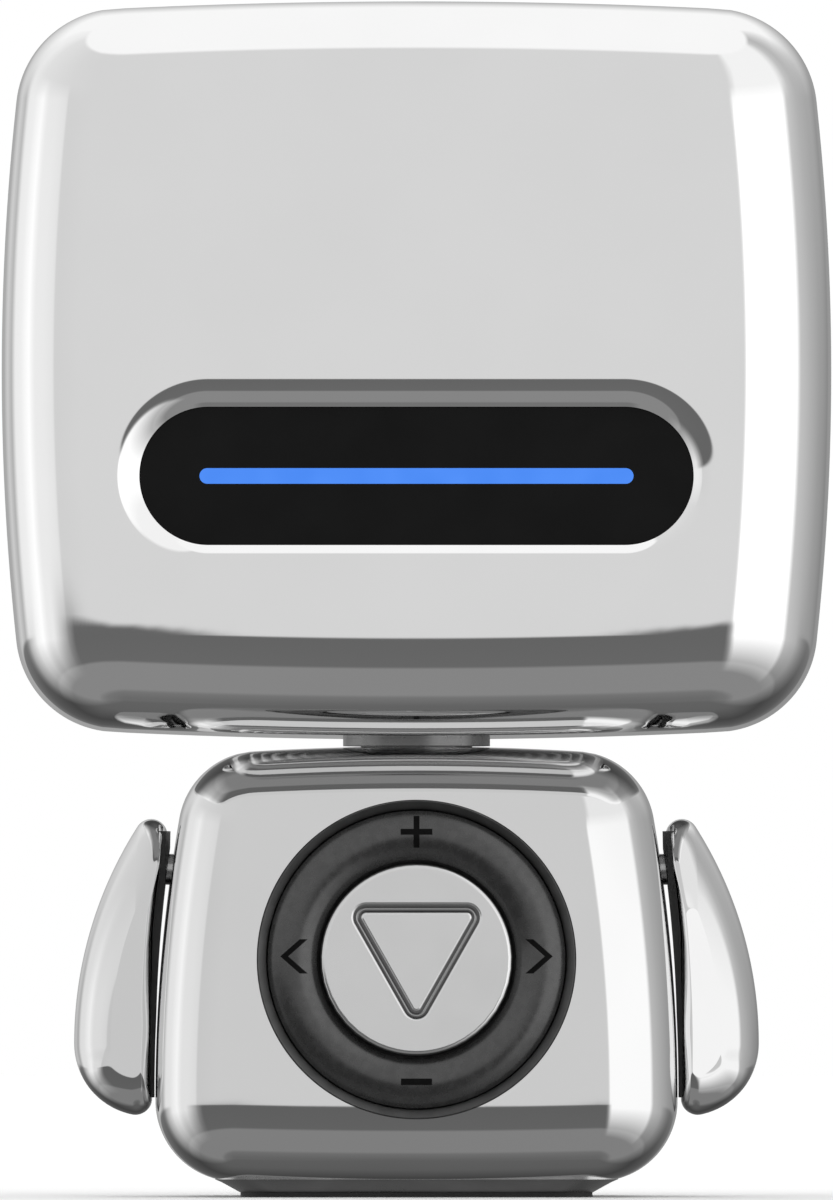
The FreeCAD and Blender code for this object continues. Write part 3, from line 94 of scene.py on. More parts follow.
def finish_of(name, dark, light, rough, grain, bump, metallic=0.0, stretch=(1, 1, 1), **sockets):
    """A surface finish: colour and roughness vary over a noise, with a finer noise as a bump.

    grain is the size of the noise in millimetres, bump the finer noise's size and height.
    """
    material = bpy.data.materials.new(name)
    tree = new_tree(material)
    out = add(tree, "ShaderNodeOutputMaterial")
    shader = add(tree, "ShaderNodeBsdfPrincipled")
    shader.inputs["Metallic"].default_value = metallic
    for socket, value in sockets.items():
        shader.inputs[socket.replace("_", " ")].default_value = value
    coord = add(tree, "ShaderNodeTexCoord")
    mapping = add(tree, "ShaderNodeMapping")
    mapping.inputs["Scale"].default_value = stretch
    link(tree, coord, "Object", mapping, "Vector")
    noise = add(tree, "ShaderNodeTexNoise", Scale=1 / (grain * MM), Detail=2.0, Roughness=0.55)
    link(tree, mapping, "Vector", noise, "Vector")
    colour = ramp(tree, noise.outputs["Fac"], zip(NOISE_SPAN, (dark, light)))
    tree.links.new(colour, shader.inputs["Base Color"])
    spread = add(tree, "ShaderNodeMapRange")
    for socket, value in zip(("From Min", "From Max", "To Min", "To Max"), (*NOISE_SPAN, *rough)):
        spread.inputs[socket].default_value = value
    tree.links.new(noise.outputs["Fac"], spread.inputs["Value"])
    tree.links.new(spread.outputs["Result"], shader.inputs["Roughness"])
    bump_grain, bump_height = bump
    fine = add(tree, "ShaderNodeTexNoise", Scale=1 / (bump_grain * MM), Detail=1.0)
    link(tree, mapping, "Vector", fine, "Vector")
    relief = add(tree, "ShaderNodeBump", Strength=1.0, Distance=bump_height * MM)
    link(tree, fine, "Fac", relief, "Height")
    link(tree, relief, "Normal", shader, "Normal")
    link(tree, shader, "BSDF", out, "Surface")
    return material


def grey(value):
    return (value, value, value)


FINISHES = {
    "chrome": finish_of(
        "chrome", grey(0.945), grey(0.965), (0.035, 0.06), 9, (14, 0.0006), metallic=1.0
    ),
    # the torso's shells: the same chrome plating made darker, as painted shade
    "body_chrome": finish_of(
        "body_chrome", grey(0.845), grey(0.865), (0.035, 0.06), 9, (14, 0.0006), metallic=1.0
    ),
    # the arms: the same chrome plating made darker still, as painted shade
    "arm_chrome": finish_of(
        "arm_chrome", grey(0.80), grey(0.82), (0.035, 0.06), 7, (12, 0.0006), metallic=1.0
    ),
    "neck_steel": finish_of(
        "neck_steel", grey(0.2), grey(0.26), (0.25, 0.35), 0.8, (0.3, 0.001), metallic=1.0
    ),
    "sole_chrome": finish_of(
        "sole_chrome", grey(0.72), grey(0.78), (0.25, 0.35), 2.5, (0.5, 0.0008), metallic=1.0
    ),
    "satin_silver": finish_of(
        "satin_silver", grey(0.84), grey(0.88), (0.16, 0.22), 2.5, (0.5, 0.0005), metallic=1.0
    ),
    "dark_chrome": finish_of(
        "dark_chrome", grey(0.22), grey(0.25), (0.42, 0.5), 1.2, (0.3, 0.0008), metallic=1.0
    ),
    "graphite_plastic": finish_of(
        "graphite_plastic", grey(0.1), grey(0.12), (0.24, 0.3), 0.6, (0.12, 0.0006), metallic=0.9
    ),
    "black_mark": finish_of(
        "black_mark", grey(0.002), grey(0.004), (0.4, 0.5), 0.4, (0.2, 0.001), Specular_IOR_Level=0.08
    ),
    "smoked_lens": finish_of(
        "smoked_lens", grey(0.004), grey(0.006), (0.05, 0.09), 5, (8, 0.0004), Specular_IOR_Level=0.1
    ),
    "rubber_black": finish_of("rubber_black", grey(0.012), grey(0.02), (0.55, 0.7), 0.5, (0.15, 0.003)),
    "silicone_grey": finish_of("silicone_grey", grey(0.3), grey(0.36), (0.5, 0.6), 0.8, (0.2, 0.002)),
    "plastic_black": finish_of(
        "plastic_black", grey(0.015), grey(0.024), (0.35, 0.5), 0.6, (0.18, 0.002)
    ),
    "bush_white": finish_of("bush_white", grey(0.72), grey(0.8), (0.35, 0.45), 0.8, (0.3, 0.001)),
    "steel": finish_of(
        "steel", grey(0.5), grey(0.62), (0.2, 0.34), 0.5, (0.25, 0.001), metallic=1.0, stretch=(1, 1, 6)
    ),
    "grille_metal": finish_of(
        "grille_metal", grey(0.5), grey(0.58), (0.24, 0.34), 0.8, (0.3, 0.001), metallic=1.0
    ),
    "magnet": finish_of("magnet", grey(0.06), grey(0.1), (0.35, 0.55), 0.3, (0.15, 0.003), metallic=0.7),
    "paper_cone": finish_of("paper_cone", grey(0.02), grey(0.035), (0.7, 0.85), 0.25, (0.2, 0.01)),
    "copper": finish_of(
        "copper", (0.62, 0.25, 0.12), (0.75, 0.34, 0.18), (0.25, 0.35), 0.2, (0.1, 0.003), metallic=1.0
    ),
    "circuit_board": finish_of(
        "circuit_board", (0.006, 0.06, 0.03), (0.012, 0.1, 0.05), (0.3, 0.45), 0.9, (0.3, 0.004)
    ),
    "battery_wrap": finish_of(
        "battery_wrap", (0.03, 0.09, 0.2), (0.045, 0.13, 0.28), (0.25, 0.4), 1.5, (1.2, 0.01)
    ),
}


def light_finish():
    """The lit bar: an even blue glow with a very faint grain."""
    material = bpy.data.materials.new("blue_light")
    tree = new_tree(material)
    out = add(tree, "ShaderNodeOutputMaterial")
    shader = add(tree, "ShaderNodeBsdfPrincipled")
    shader.inputs["Roughness"].default_value = 0.3
    shader.inputs["Base Color"].default_value = (0.004, 0.012, 0.04, 1)
    shader.inputs["Specular IOR Level"].default_value = 0.05
    coord = add(tree, "ShaderNodeTexCoord")
    noise = add(tree, "ShaderNodeTexNoise", Scale=400.0, Detail=1.0)
    link(tree, coord, "Object", noise, "Vector")
    glows = zip(NOISE_SPAN, ((0.070, 0.250, 0.88), (0.082, 0.272, 0.92)))
    colour = ramp(tree, noise.outputs["Fac"], glows)
    tree.links.new(colour, shader.inputs["Emission Color"])
    shader.inputs["Emission Strength"].default_value = 1.0
    link(tree, shader, "BSDF", out, "Surface")
    return material


FINISHES["blue_light"] = light_finish()


# the depths in millimetres between which the play key's colour is darkened as painted shade in its
# groove and round its rolled rim, and how dark that painted shade gets
KEY_SHADE_DEPTHS = (-11.03, -10.93)
KEY_SHADE_TONE = 0.42


def key_with_painted_shade():
    """The play key's satin face, with painted shade: its colour is darkened in its groove and round its
    rolled edge.
    """
    material = finish_of(
        "key_silver_painted_shade", grey(0.84), grey(0.88), (0.16, 0.22), 2.5, (0.5, 0.0005), metallic=1.0
    )
    tree = material.node_tree
    shader = next(node for node in tree.nodes if node.bl_idname == "ShaderNodeBsdfPrincipled")
    face = shader.inputs["Base Color"].links[0].from_socket
    coord = add(tree, "ShaderNodeTexCoord")
    parts = add(tree, "ShaderNodeSeparateXYZ")
    link(tree, coord, "Object", parts, "Vector")
    # painted shade: the deeper the surface lies, the darker its colour, in the groove and round the rim
    sunk = add(tree, "ShaderNodeMapRange")
    for name, depth in zip(("From Min", "From Max"), KEY_SHADE_DEPTHS):
        sunk.inputs[name].default_value = depth * MM
    link(tree, parts, "Y", sunk, "Value")
    shade = ramp(tree, sunk.outputs["Result"], [(0.0, 1.0), (1.0, KEY_SHADE_TONE)])
    tone = tree.nodes.new("ShaderNodeMix")
    tone.data_type = "RGBA"
    tone.blend_type = "MULTIPLY"
    tone.inputs[0].default_value = 1.0
    tree.links.new(face, tone.inputs[6])
    tree.links.new(shade, tone.inputs[7])
    tree.links.new(tone.outputs[2], shader.inputs["Base Color"])
    return material


FINISHES["key_silver_painted_shade"] = key_with_painted_shade()

# pieces whose finish differs from the one that their slot names
OWN_FINISHES = {"neck_spindle": "neck_steel"}

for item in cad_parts.values():
    for slot in item.material_slots:
        slot.material = FINISHES[OWN_FINISHES.get(item.name, slot.material.name.split(".")[0])]


# ---------------------------------------------------------------- building pieces in mesh code


def mesh_piece(name, points, faces, finish, body):
    """A piece from points in millimetres. Without a body it is a tool, or is placed later."""
    mesh = bpy.data.meshes.new(name)
    mesh.from_pydata([tuple(point) for point in np.asarray(points) * MM], [], faces)
    mesh.polygons.foreach_set("use_smooth", [True] * len(mesh.polygons))
    mesh.materials.append(FINISHES[finish])
    piece = bpy.data.objects.new(name, mesh)
    bpy.context.collection.objects.link(piece)
    if body:
        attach(piece, body)
    return piece


def place(piece, body, node):
    """Let a piece ride on a body in place of a CAD node."""
    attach(piece, body)
    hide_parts(node)


def strip_faces(rows, count, closed=True):
    """Quads between rows of points that lie one after another, each row count points long."""
    faces = []
    for row in range(rows - 1):
        for index in range(count if closed else count - 1):
            after = (index + 1) % count
            start = row * count
            faces.append((start + index, start + after, start + count + after, start + count + index))
    return faces


def cap(faces, start, count, flip=False):
    """Add one face over the ring of count points that begins at start."""
    ring = tuple(range(start, start + count))
    faces.append(tuple(reversed(ring)) if flip else ring)


def point_outwards(piece):
    shape = bmesh.new()
    shape.from_mesh(piece.data)
    bmesh.ops.recalc_face_normals(shape, faces=shape.faces)
    shape.to_mesh(piece.data)
    shape.free()


def layered_solid(name, points, count, finish="chrome"):
    """A closed solid from rings of points that lie one after another, each count points long."""
    rows = len(points) // count
    faces = strip_faces(rows, count)
    cap(faces, 0, count)
    cap(faces, (rows - 1) * count, count, flip=True)
    piece = mesh_piece(name, points, faces, finish, None)
    point_outwards(piece)
    return piece


def prism(name, outline, start_y, end_y):
    """A solid from an XZ outline, used to cut with."""
    return layered_solid(name, [(x, y, z) for y in (start_y, end_y) for x, z in outline], len(outline))


def round_outline(centre, radius, count=96):
    x, z = centre
    steps = [2 * math.pi * index / count for index in range(count)]
    return [(x + radius * math.cos(turn), z + radius * math.sin(turn)) for turn in steps]


def slot_outline(centre_z, half_x, half_z, count=96):
    """Points and outward directions round a stadium shape."""
    run = half_x - half_z
    points = []
    for side in (1, -1):
        for index in range(count + 1):
            turn = math.radians(-90 + 180 * index / count) + (0 if side > 0 else math.pi)
            way = (math.cos(turn), math.sin(turn))
            points.append((side * run + half_z * way[0], centre_z + half_z * way[1], way))
    return points


# ---------------------------------------------------------------- the two chrome casings


class Casing:
    """A rounded box with bowed faces: every point lies one edge radius outside an inner core."""

    def __init__(self, half, middle, bow_x, bow_y, bow_top, bow_bottom, side_z, edge):
        self.half = half
        self.middle = middle
        self.edge = edge
        self.balls = [
            ((half[0] - bow_x, 0, side_z), bow_x - edge),
            ((bow_x - half[0], 0, side_z), bow_x - edge),
            ((0, half[1] - bow_y, middle), bow_y - edge),
            ((0, bow_y - half[1], middle), bow_y - edge),
            ((0, 0, middle + half[2] - bow_top), bow_top - edge),
            ((0, 0, middle - half[2] + bow_bottom), bow_bottom - edge),
        ]

    def core_of(self, points):
        """The nearest point of the core for each point, by projecting onto its balls in turn."""
        nearest = np.array(points, float)
        slack = [np.zeros_like(nearest) for _ in self.balls]
        for _ in range(14):
            for index, (centre, radius) in enumerate(self.balls):
                tried = nearest + slack[index]
                offset = tried - np.array(centre)
                reach = np.linalg.norm(offset, axis=1, keepdims=True)
                pulled = np.array(centre) + offset * np.minimum(1, radius / reach)
                slack[index] = tried - pulled
                nearest = pulled
        return nearest

    def directions(self, points):
        offset = np.asarray(points) - self.core_of(points)
        reach = np.linalg.norm(offset, axis=1, keepdims=True)
        return offset / np.maximum(reach, 1e-9), reach[:, 0]

    def skin(self, inset=0.0, flats=26, rolls=18):
        """Points and quads of the outer surface, or of one that lies inset inside it."""
        flat = [(2 * step / flats - 1, 0.0) for step in range(flats + 1)]
        bends = [math.radians(45 * step / rolls) for step in range(1, rolls + 1)]
        levels = [(-1, -bend) for bend in reversed(bends)] + flat + [(1, bend) for bend in bends]
        inner = [size - self.edge for size in self.half]
        points, index_of, faces = [], {}, []
        for axis in range(3):
            for side in (-1, 1):
                grid = []
                one, two = [other for other in range(3) if other != axis]
                for share_u, bend_u in levels:
                    row = []
                    for share_v, bend_v in levels:
                        base, way = [0.0] * 3, [0.0] * 3
                        base[one], base[two] = share_u * inner[one], share_v * inner[two]
                        base[axis] = side * inner[axis]
                        way[one], way[two], way[axis] = math.tan(bend_u), math.tan(bend_v), side
                        length = math.sqrt(sum(part * part for part in way))
                        point = [b + self.edge * w / length for b, w in zip(base, way)]
                        point[2] += self.middle
                        key = tuple(round(part, 4) for part in point)
                        if key not in index_of:
                            index_of[key] = len(points)
                            points.append(point)
                        row.append(index_of[key])
                    grid.append(row)
                for row, after in zip(grid, grid[1:]):
                    for corner in range(len(row) - 1):
                        faces.append((row[corner], row[corner + 1], after[corner + 1], after[corner]))
        points = np.array(points)
        core = self.core_of(points)
        way = points - core
        way /= np.linalg.norm(way, axis=1, keepdims=True)
        return core + way * (self.edge - inset), faces

    def solid(self, name, inset=0.0):
        points, faces = self.skin(inset)
        piece = mesh_piece(name, points, faces, "chrome", None)
        point_outwards(piece)
        return piece


def carve(piece, cutters):
    """Cut each of the cutters out of a piece and remove them."""
    for number, cutter in enumerate(cutters):
        step = piece.modifiers.new(f"cut_{number}", "BOOLEAN")
        step.operation = "DIFFERENCE"
        step.solver = "EXACT"
        step.object = cutter
    bpy.context.view_layer.update()
    made = bpy.data.meshes.new_from_object(piece.evaluated_get(bpy.context.evaluated_depsgraph_get()))
    piece.modifiers.clear()
    old = piece.data
    name = old.name
    piece.data = made
    bpy.data.meshes.remove(old)
    made.name = name
    for cutter in cutters:
        bpy.data.objects.remove(cutter)


def shade_exactly(piece, casing):
    """Give the outer skin the true direction of its surface; cut walls keep their own."""
    mesh = piece.data
    mesh.polygons.foreach_set("use_smooth", [True] * len(mesh.polygons))
    mesh.set_sharp_from_angle(angle=math.radians(25))
    count = len(mesh.loops)
    ways = np.zeros(count * 3, np.float32)
    mesh.corner_normals.foreach_get("vector", ways)
    ways = ways.reshape(-1, 3)
    corners = np.zeros(count, np.int32)
    mesh.loops.foreach_get("vertex_index", corners)
    points = np.zeros(len(mesh.vertices) * 3, np.float64)
    mesh.vertices.foreach_get("co", points)
    exact, reach = casing.directions(points.reshape(-1, 3) / MM)
    on_skin = np.abs(reach - casing.edge) < 0.004
    sizes = np.array([polygon.loop_total for polygon in mesh.polygons])
    flat = np.array([tuple(polygon.normal) for polygon in mesh.polygons])
    of_face = np.repeat(flat, sizes, axis=0)
    wanted = exact[corners]
    close = (np.sum(of_face * wanted, axis=1) > 0.85) & on_skin[corners]
    ways[close] = wanted[close]
    mesh.normals_split_custom_set(ways.tolist())


def halves_of(piece, split_y, names, body, finish):
    """Part a casing at its joint into a front and a rear piece."""
    for name, is_front in zip(names, (True, False)):
        mesh = piece.data.copy()
        shape = bmesh.new()
        shape.from_mesh(mesh)
        gone = [face for face in shape.faces if (face.calc_center_median().y < split_y * MM) != is_front]
        bmesh.ops.delete(shape, geom=gone, context="FACES")
        shape.to_mesh(mesh)
        shape.free()
        half = bpy.data.objects.new(f"{name}_skin", mesh)
        bpy.context.collection.objects.link(half)
        mesh.materials[0] = FINISHES[finish]
        place(half, body, name)
    bpy.data.objects.remove(piece)


def parting(name, start_y):
    """A thin sheet across the whole piece, which cuts the groove of its joint."""
    far = 60
    square = [(-far, -far), (far, -far), (far, 2 * far), (-far, 2 * far)]
    return prism(name, square, start_y, start_y + JOINT_GROOVE)


def upright_round(name, radius, low_z, high_z):
    """A cylinder along Z on the middle of the object."""
    outline = round_outline((0, 0), radius)
    return layered_solid(name, [(x, y, z) for z in (low_z, high_z) for x, y in outline], len(outline))


HEAD_HALF = (26.8, 16.5, 23.725)
HEAD_MIDDLE_Z = 53.275
HEAD_BOW_Y = 1200
HEAD_WALL = 1.6
HEAD_JOINT_Y = 6.0
SPEAKER_Z, SPEAKER_MOUTH = 54.3, 14.98
TORSO_HALF = (16.87, 11.0, 14.135)
TORSO_MIDDLE_Z = 14.935
TORSO_BOW_X = 105
TORSO_WIDE_Z = 6.5
TORSO_WALL = 1.4
TORSO_JOINT_Y = 6.6
JOINT_GROOVE = 0.1
NECK_MOUTH = 4.8
PAD_Z, PAD_MOUTH = 15.3, 10.26
PORT_Z, PORT_HALF = 6.4, (4.65, 1.78)
VISOR_Z = 46.26
VISOR_HALF = (17.75, 4.43)
LIP_ROLL = 2.6
LIP_ANGLE = math.radians(40)
LIP_DEPTH = 0.8
LIP_SLOPE = LIP_DEPTH / math.tan(LIP_ANGLE)
LIP_REACH = LIP_SLOPE + LIP_ROLL * math.tan(LIP_ANGLE / 2)


def head_casing():
    """The head's shells, with the mouths of the visor, neck and speaker and four screw wells."""
    casing = Casing(
        HEAD_HALF, HEAD_MIDDLE_Z, bow_x=161, bow_y=HEAD_BOW_Y, bow_top=400, bow_bottom=400,
        side_z=HEAD_MIDDLE_Z, edge=6.5,
    )
    outer = casing.solid("head_casing")
    screws = [(20 * side, HEAD_MIDDLE_Z + 17 * up) for side in (-1, 1) for up in (-1, 1)]
    hollow = casing.solid("head_hollow", HEAD_WALL)
    carve(hollow, [prism("post", round_outline(at, 2.4, 48), 7.9, 20) for at in screws])
    run, rise = VISOR_HALF[0] + LIP_REACH, VISOR_HALF[1] + LIP_REACH
    mouth = [(x, z) for x, z, _ in slot_outline(VISOR_Z, run, rise)]
    carve(outer, [
        hollow,
        prism("visor_way", mouth, -20, -13),
        upright_round("neck_way", NECK_MOUTH, 26, 34),
        prism("speaker_way", round_outline((0, SPEAKER_Z), SPEAKER_MOUTH, 160), 12, 20),
        *(prism("well", round_outline(at, 1.85, 48), 9, 20) for at in screws),
        parting("head_joint", HEAD_JOINT_Y),
    ])
    shade_exactly(outer, casing)
    middle_of_groove = HEAD_JOINT_Y + JOINT_GROOVE / 2
    halves_of(outer, middle_of_groove, ("head_front_shell", "head_rear_shell"), "head", "chrome")
    visor_lip()


def visor_lip():
    """The rolled and sloping edge of the visor recess, and the wall that goes in to the lens."""
    bow, front, middle = HEAD_BOW_Y, HEAD_HALF[1], HEAD_MIDDLE_Z
    outline = slot_outline(VISOR_Z, *VISOR_HALF)
    arc = [LIP_ANGLE * step / 24 for step in range(25)]
    slope = math.tan(LIP_ANGLE)
    steps = [
        (LIP_REACH - LIP_ROLL * math.sin(turn), LIP_ROLL * (1 - math.cos(turn)), math.tan(turn))
        for turn in arc
    ]
    steps += [(away, LIP_DEPTH - away * slope, slope) for away in (0.1, 0.0)]
    points, ways = [], []
    for away, depth, steep in steps:
        for x, z, (way_x, way_z) in outline:
            at_x, at_z = x + away * way_x, z + away * way_z
            fall = math.sqrt(bow**2 - at_x**2 - (at_z - middle) ** 2)
            points.append((at_x, bow - front - fall + depth, at_z))
            tilt = Vector((at_x / fall - steep * way_x, -1, (at_z - middle) / fall - steep * way_z))
            ways.append(tilt.normalized())
    for depth in (LIP_DEPTH, HEAD_WALL):
        for x, z, (way_x, way_z) in outline:
            fall = math.sqrt(bow**2 - x**2 - (z - middle) ** 2)
            points.append((x, bow - front - fall + depth, z))
            ways.append(Vector((-way_x, 0, -way_z)))
    count = len(outline)
    faces = strip_faces(len(steps), count)
    base = len(steps) * count
    faces += [tuple(base + corner for corner in face) for face in strip_faces(2, count)]
    piece = mesh_piece("visor_lip", points, faces, "chrome", "head")
    mesh = piece.data
    if mesh.polygons[0].normal.y > 0:
        mesh.flip_normals()
    mesh.normals_split_custom_set_from_vertices([tuple(way) for way in ways])


def torso_casing():
    """The torso's shells, with the mouths of the pad, neck and charging port and four screw wells."""
    casing = Casing(
        TORSO_HALF, TORSO_MIDDLE_Z, bow_x=TORSO_BOW_X, bow_y=450, bow_top=175, bow_bottom=400,
        side_z=TORSO_WIDE_Z, edge=5.2,
    )
    outer = casing.solid("torso_casing")
    screws = [(11.8, 3.4), (-11.8, 3.4), (10.6, 26.2), (-10.6, 26.2)]
    hollow = casing.solid("torso_hollow", TORSO_WALL)
    carve(hollow, [prism("post", round_outline(at, 2.2, 48), 6.9, 14) for at in screws])
    port = [(x, z) for x, z, _ in slot_outline(PORT_Z, *PORT_HALF, 32)]
    carve(outer, [
        hollow,
        prism("pad_way", round_outline((0, PAD_Z), PAD_MOUTH, 192), -14, -8),
        upright_round("neck_way", NECK_MOUTH, 26, 32),
        prism("port_way", port, 9, 14),
        *(prism("well", round_outline(at, 1.35, 48), 7.7, 14) for at in screws),
        parting("torso_joint", TORSO_JOINT_Y),
    ])
    shade_exactly(outer, casing)
    middle_of_groove = TORSO_JOINT_Y + JOINT_GROOVE / 2
    # the torso's shells take the darker copy of the chrome, which paints shade on them
    halves_of(outer, middle_of_groove, ("torso_front_shell", "torso_rear_shell"), "torso", "body_chrome")


# ---------------------------------------------------------------- arms

# the left arm's outline: the outer side's widest place and its two bows, and the bow of the inner side
ARM_OUTER_X, ARM_WIDE_Z = -22.13, 9.9
ARM_UPPER_BOW, ARM_LOWER_BOW = 26.0, 4.7
ARM_INNER_X, ARM_INNER_Z, ARM_INNER_BOW = -17.16, 9.5, 90
# points along the upper outer side, the lower outer side, the heel, the inner side and the top
ARM_RUNS = (90, 50, 24, 60, 24)
ARM_HALF_Y = 4.2
ARM_CREASE = math.radians(30)
ARM_TILT_FROM_X = -16.9
ARM_TILT = math.tan(math.radians(11))
ARM_MOST_ROLL = 3
SHOULDER_Z = 21.14
# the torso's bow is widest this far below the shoulder
BOW_DROP = SHOULDER_Z - TORSO_WIDE_Z
SWING_ROOM = 0.3
PAD_ROOM = 0.08
PAD_PROUD = 0.3
PAD_SEAT = 0.6


def arm_outline(outer_inset, inner_inset, tip):
    """Points round the left arm, or round a line that lies inside it, seen from the front."""
    upper, lower = ARM_UPPER_BOW - outer_inset, ARM_LOWER_BOW - outer_inset
    inner_bow = ARM_INNER_BOW + inner_inset
    inner_centre = (ARM_INNER_BOW + ARM_INNER_X, ARM_INNER_Z)
    upper_centre = (ARM_OUTER_X + ARM_UPPER_BOW, ARM_WIDE_Z)
    lower_centre = (ARM_OUTER_X + ARM_LOWER_BOW, ARM_WIDE_Z)

    def blend_circle(centre, radius, pick):
        """A circle of the tip's radius that touches an outer arc and the inner side."""
        reach, inner_reach = radius - tip, inner_bow + tip
        gap_x, gap_z = inner_centre[0] - centre[0], inner_centre[1] - centre[1]
        gap = math.hypot(gap_x, gap_z)
        along = (reach**2 - inner_reach**2 + gap**2) / (2 * gap)
        rise = math.sqrt(reach**2 - along**2)
        found = []
        for side in (-1, 1):
            x = centre[0] + (along * gap_x - side * rise * gap_z) / gap
            z = centre[1] + (along * gap_z + side * rise * gap_x) / gap
            found.append((x, z))
        return pick(found, key=lambda at: at[1])

    def heading(start, end):
        return math.atan2(end[1] - start[1], end[0] - start[0]) % (2 * math.pi)

    def arc(centre, radius, start, end, count):
        made = []
        for index in range(count):
            turn = start + (end - start) * index / count
            made.append((centre[0] + radius * math.cos(turn), centre[1] + radius * math.sin(turn)))
        return made

    top = blend_circle(upper_centre, upper, max)
    heel = blend_circle(lower_centre, lower, min)
    from_low, from_top = heading(inner_centre, heel), heading(inner_centre, top)
    made = arc(upper_centre, upper, heading(upper_centre, top), math.pi, ARM_RUNS[0])
    made += arc(lower_centre, lower, math.pi, heading(lower_centre, heel), ARM_RUNS[1])
    past = heading(heel, inner_centre) + 2 * math.pi
    made += arc(heel, tip, heading(lower_centre, heel), past, ARM_RUNS[2])
    made += arc(inner_centre, inner_bow, from_low, from_top, ARM_RUNS[3])
    start = heading(top, inner_centre) - 2 * math.pi
    made += arc(top, tip, start, heading(upper_centre, top), ARM_RUNS[4])
    return np.array(made)


def creased():
    """How sharply the panel meets the side at each point: fully along the upper outer side."""
    upper, lower, heel, inner, top = ARM_RUNS
    fade = np.clip(1.05 - np.arange(lower) / (lower * 0.5), 0, 1)
    rise = np.arange(top) / top
    share = np.concatenate((np.ones(upper), fade, np.zeros(heel + inner), rise))
    return share**2 * (3 - 2 * share)


def smooth_ways(grid):
    """The direction of the surface at each point of a closed grid of rows, from its neighbours."""
    along = np.roll(grid, -1, axis=1) - np.roll(grid, 1, axis=1)
    across = np.empty_like(grid)
    across[1:-1] = grid[2:] - grid[:-2]
    across[0] = -3 * grid[0] + 4 * grid[1] - grid[2]
    across[-1] = 3 * grid[-1] - 4 * grid[-2] + grid[-3]
    ways = np.cross(along, across)
    return ways / np.linalg.norm(ways, axis=2, keepdims=True)


def clear_of_torso(points):
    """Keep points of the left arm out of the torso's bow as they meet it when the arm is swung level."""
    for side in (-1, 1):
        off_y, off_z = points[..., 1] - BOW_DROP * side, points[..., 2] - SHOULDER_Z
        swept = np.sqrt((TORSO_BOW_X + SWING_ROOM) ** 2 - off_y**2 - off_z**2)
        limit = TORSO_BOW_X - TORSO_HALF[0] - swept
        points[..., 0] = np.minimum(points[..., 0], limit)


def arm(side, name):
    """The skin: a sloping panel front and back, a crease, and a full round to the outer side."""
    outline = arm_outline(0, 0, 1.05)
    panel = arm_outline(2.4, 0.65, 0.4)
    count = len(outline)
    share = creased()
    crease = share * ARM_CREASE
    panel_y = ARM_HALF_Y - np.maximum(0, ARM_TILT_FROM_X - panel[:, 0]) * ARM_TILT
    roll = np.minimum(np.linalg.norm(outline - panel, axis=1), ARM_MOST_ROLL)
    half = []
    steps = 16
    for step in range(steps + 1):
        turn = crease + (math.radians(84) - crease) * step / steps
        bend = math.pi / 2 * step / steps
        reach = share * (np.sin(turn) - np.sin(crease)) / (1 - np.sin(crease))
        reach += (1 - share) * math.sin(bend)
        depth = share * panel_y * np.cos(turn) / np.cos(crease)
        depth += (1 - share) * (panel_y - roll * (1 - math.cos(bend)))
        flat = panel + (outline - panel) * reach[:, None]
        half.append(np.column_stack((flat[:, 0], -depth, flat[:, 1])))
    middle = np.column_stack((outline[:, 0], np.zeros(count), outline[:, 1]))
    back = [row * (1, -1, 1) for row in reversed(half)]
    grid = np.array(half + [middle] + back)
    clear_of_torso(grid)
    ways = smooth_ways(grid)
    outward = np.sum(ways[steps + 1] * (middle - middle.mean(axis=0)), axis=1).mean()
    ways *= math.copysign(1, outward)
    rows = len(grid)
    points = grid.reshape(-1, 3)
    ways = ways.reshape(-1, 3)
    panel_way = np.array((-ARM_TILT, -1, 0)) / math.hypot(1, ARM_TILT)
    points = np.vstack((points, grid[0], grid[-1]))
    ways = np.vstack((ways, np.tile(panel_way, (count, 1)), np.tile(panel_way * (1, -1, 1), (count, 1))))
    mirror = np.array((-side, 1, 1))
    faces = strip_faces(rows, count)
    cap(faces, rows * count, count)
    cap(faces, (rows + 1) * count, count, flip=True)
    # the arm's skin takes the darker copy of the chrome, which paints shade on it
    piece = mesh_piece(f"{name}_skin", points * mirror, faces, "arm_chrome", None)
    turn_with(piece, ways * mirror)
    return piece


def turn_with(piece, ways):
    """Make each face look the way its points do and give the points those directions."""
    mesh = piece.data
    wrong = []
    for polygon in mesh.polygons:
        if polygon.normal.dot(Vector(ways[polygon.vertices[0]])) < 0:
            wrong.append(polygon.index)
    shape = bmesh.new()
    shape.from_mesh(mesh)
    shape.faces.ensure_lookup_table()
    bmesh.ops.reverse_faces(shape, faces=[shape.faces[index] for index in wrong])
    shape.to_mesh(mesh)
    shape.free()
    mesh.normals_split_custom_set_from_vertices(ways.tolist())


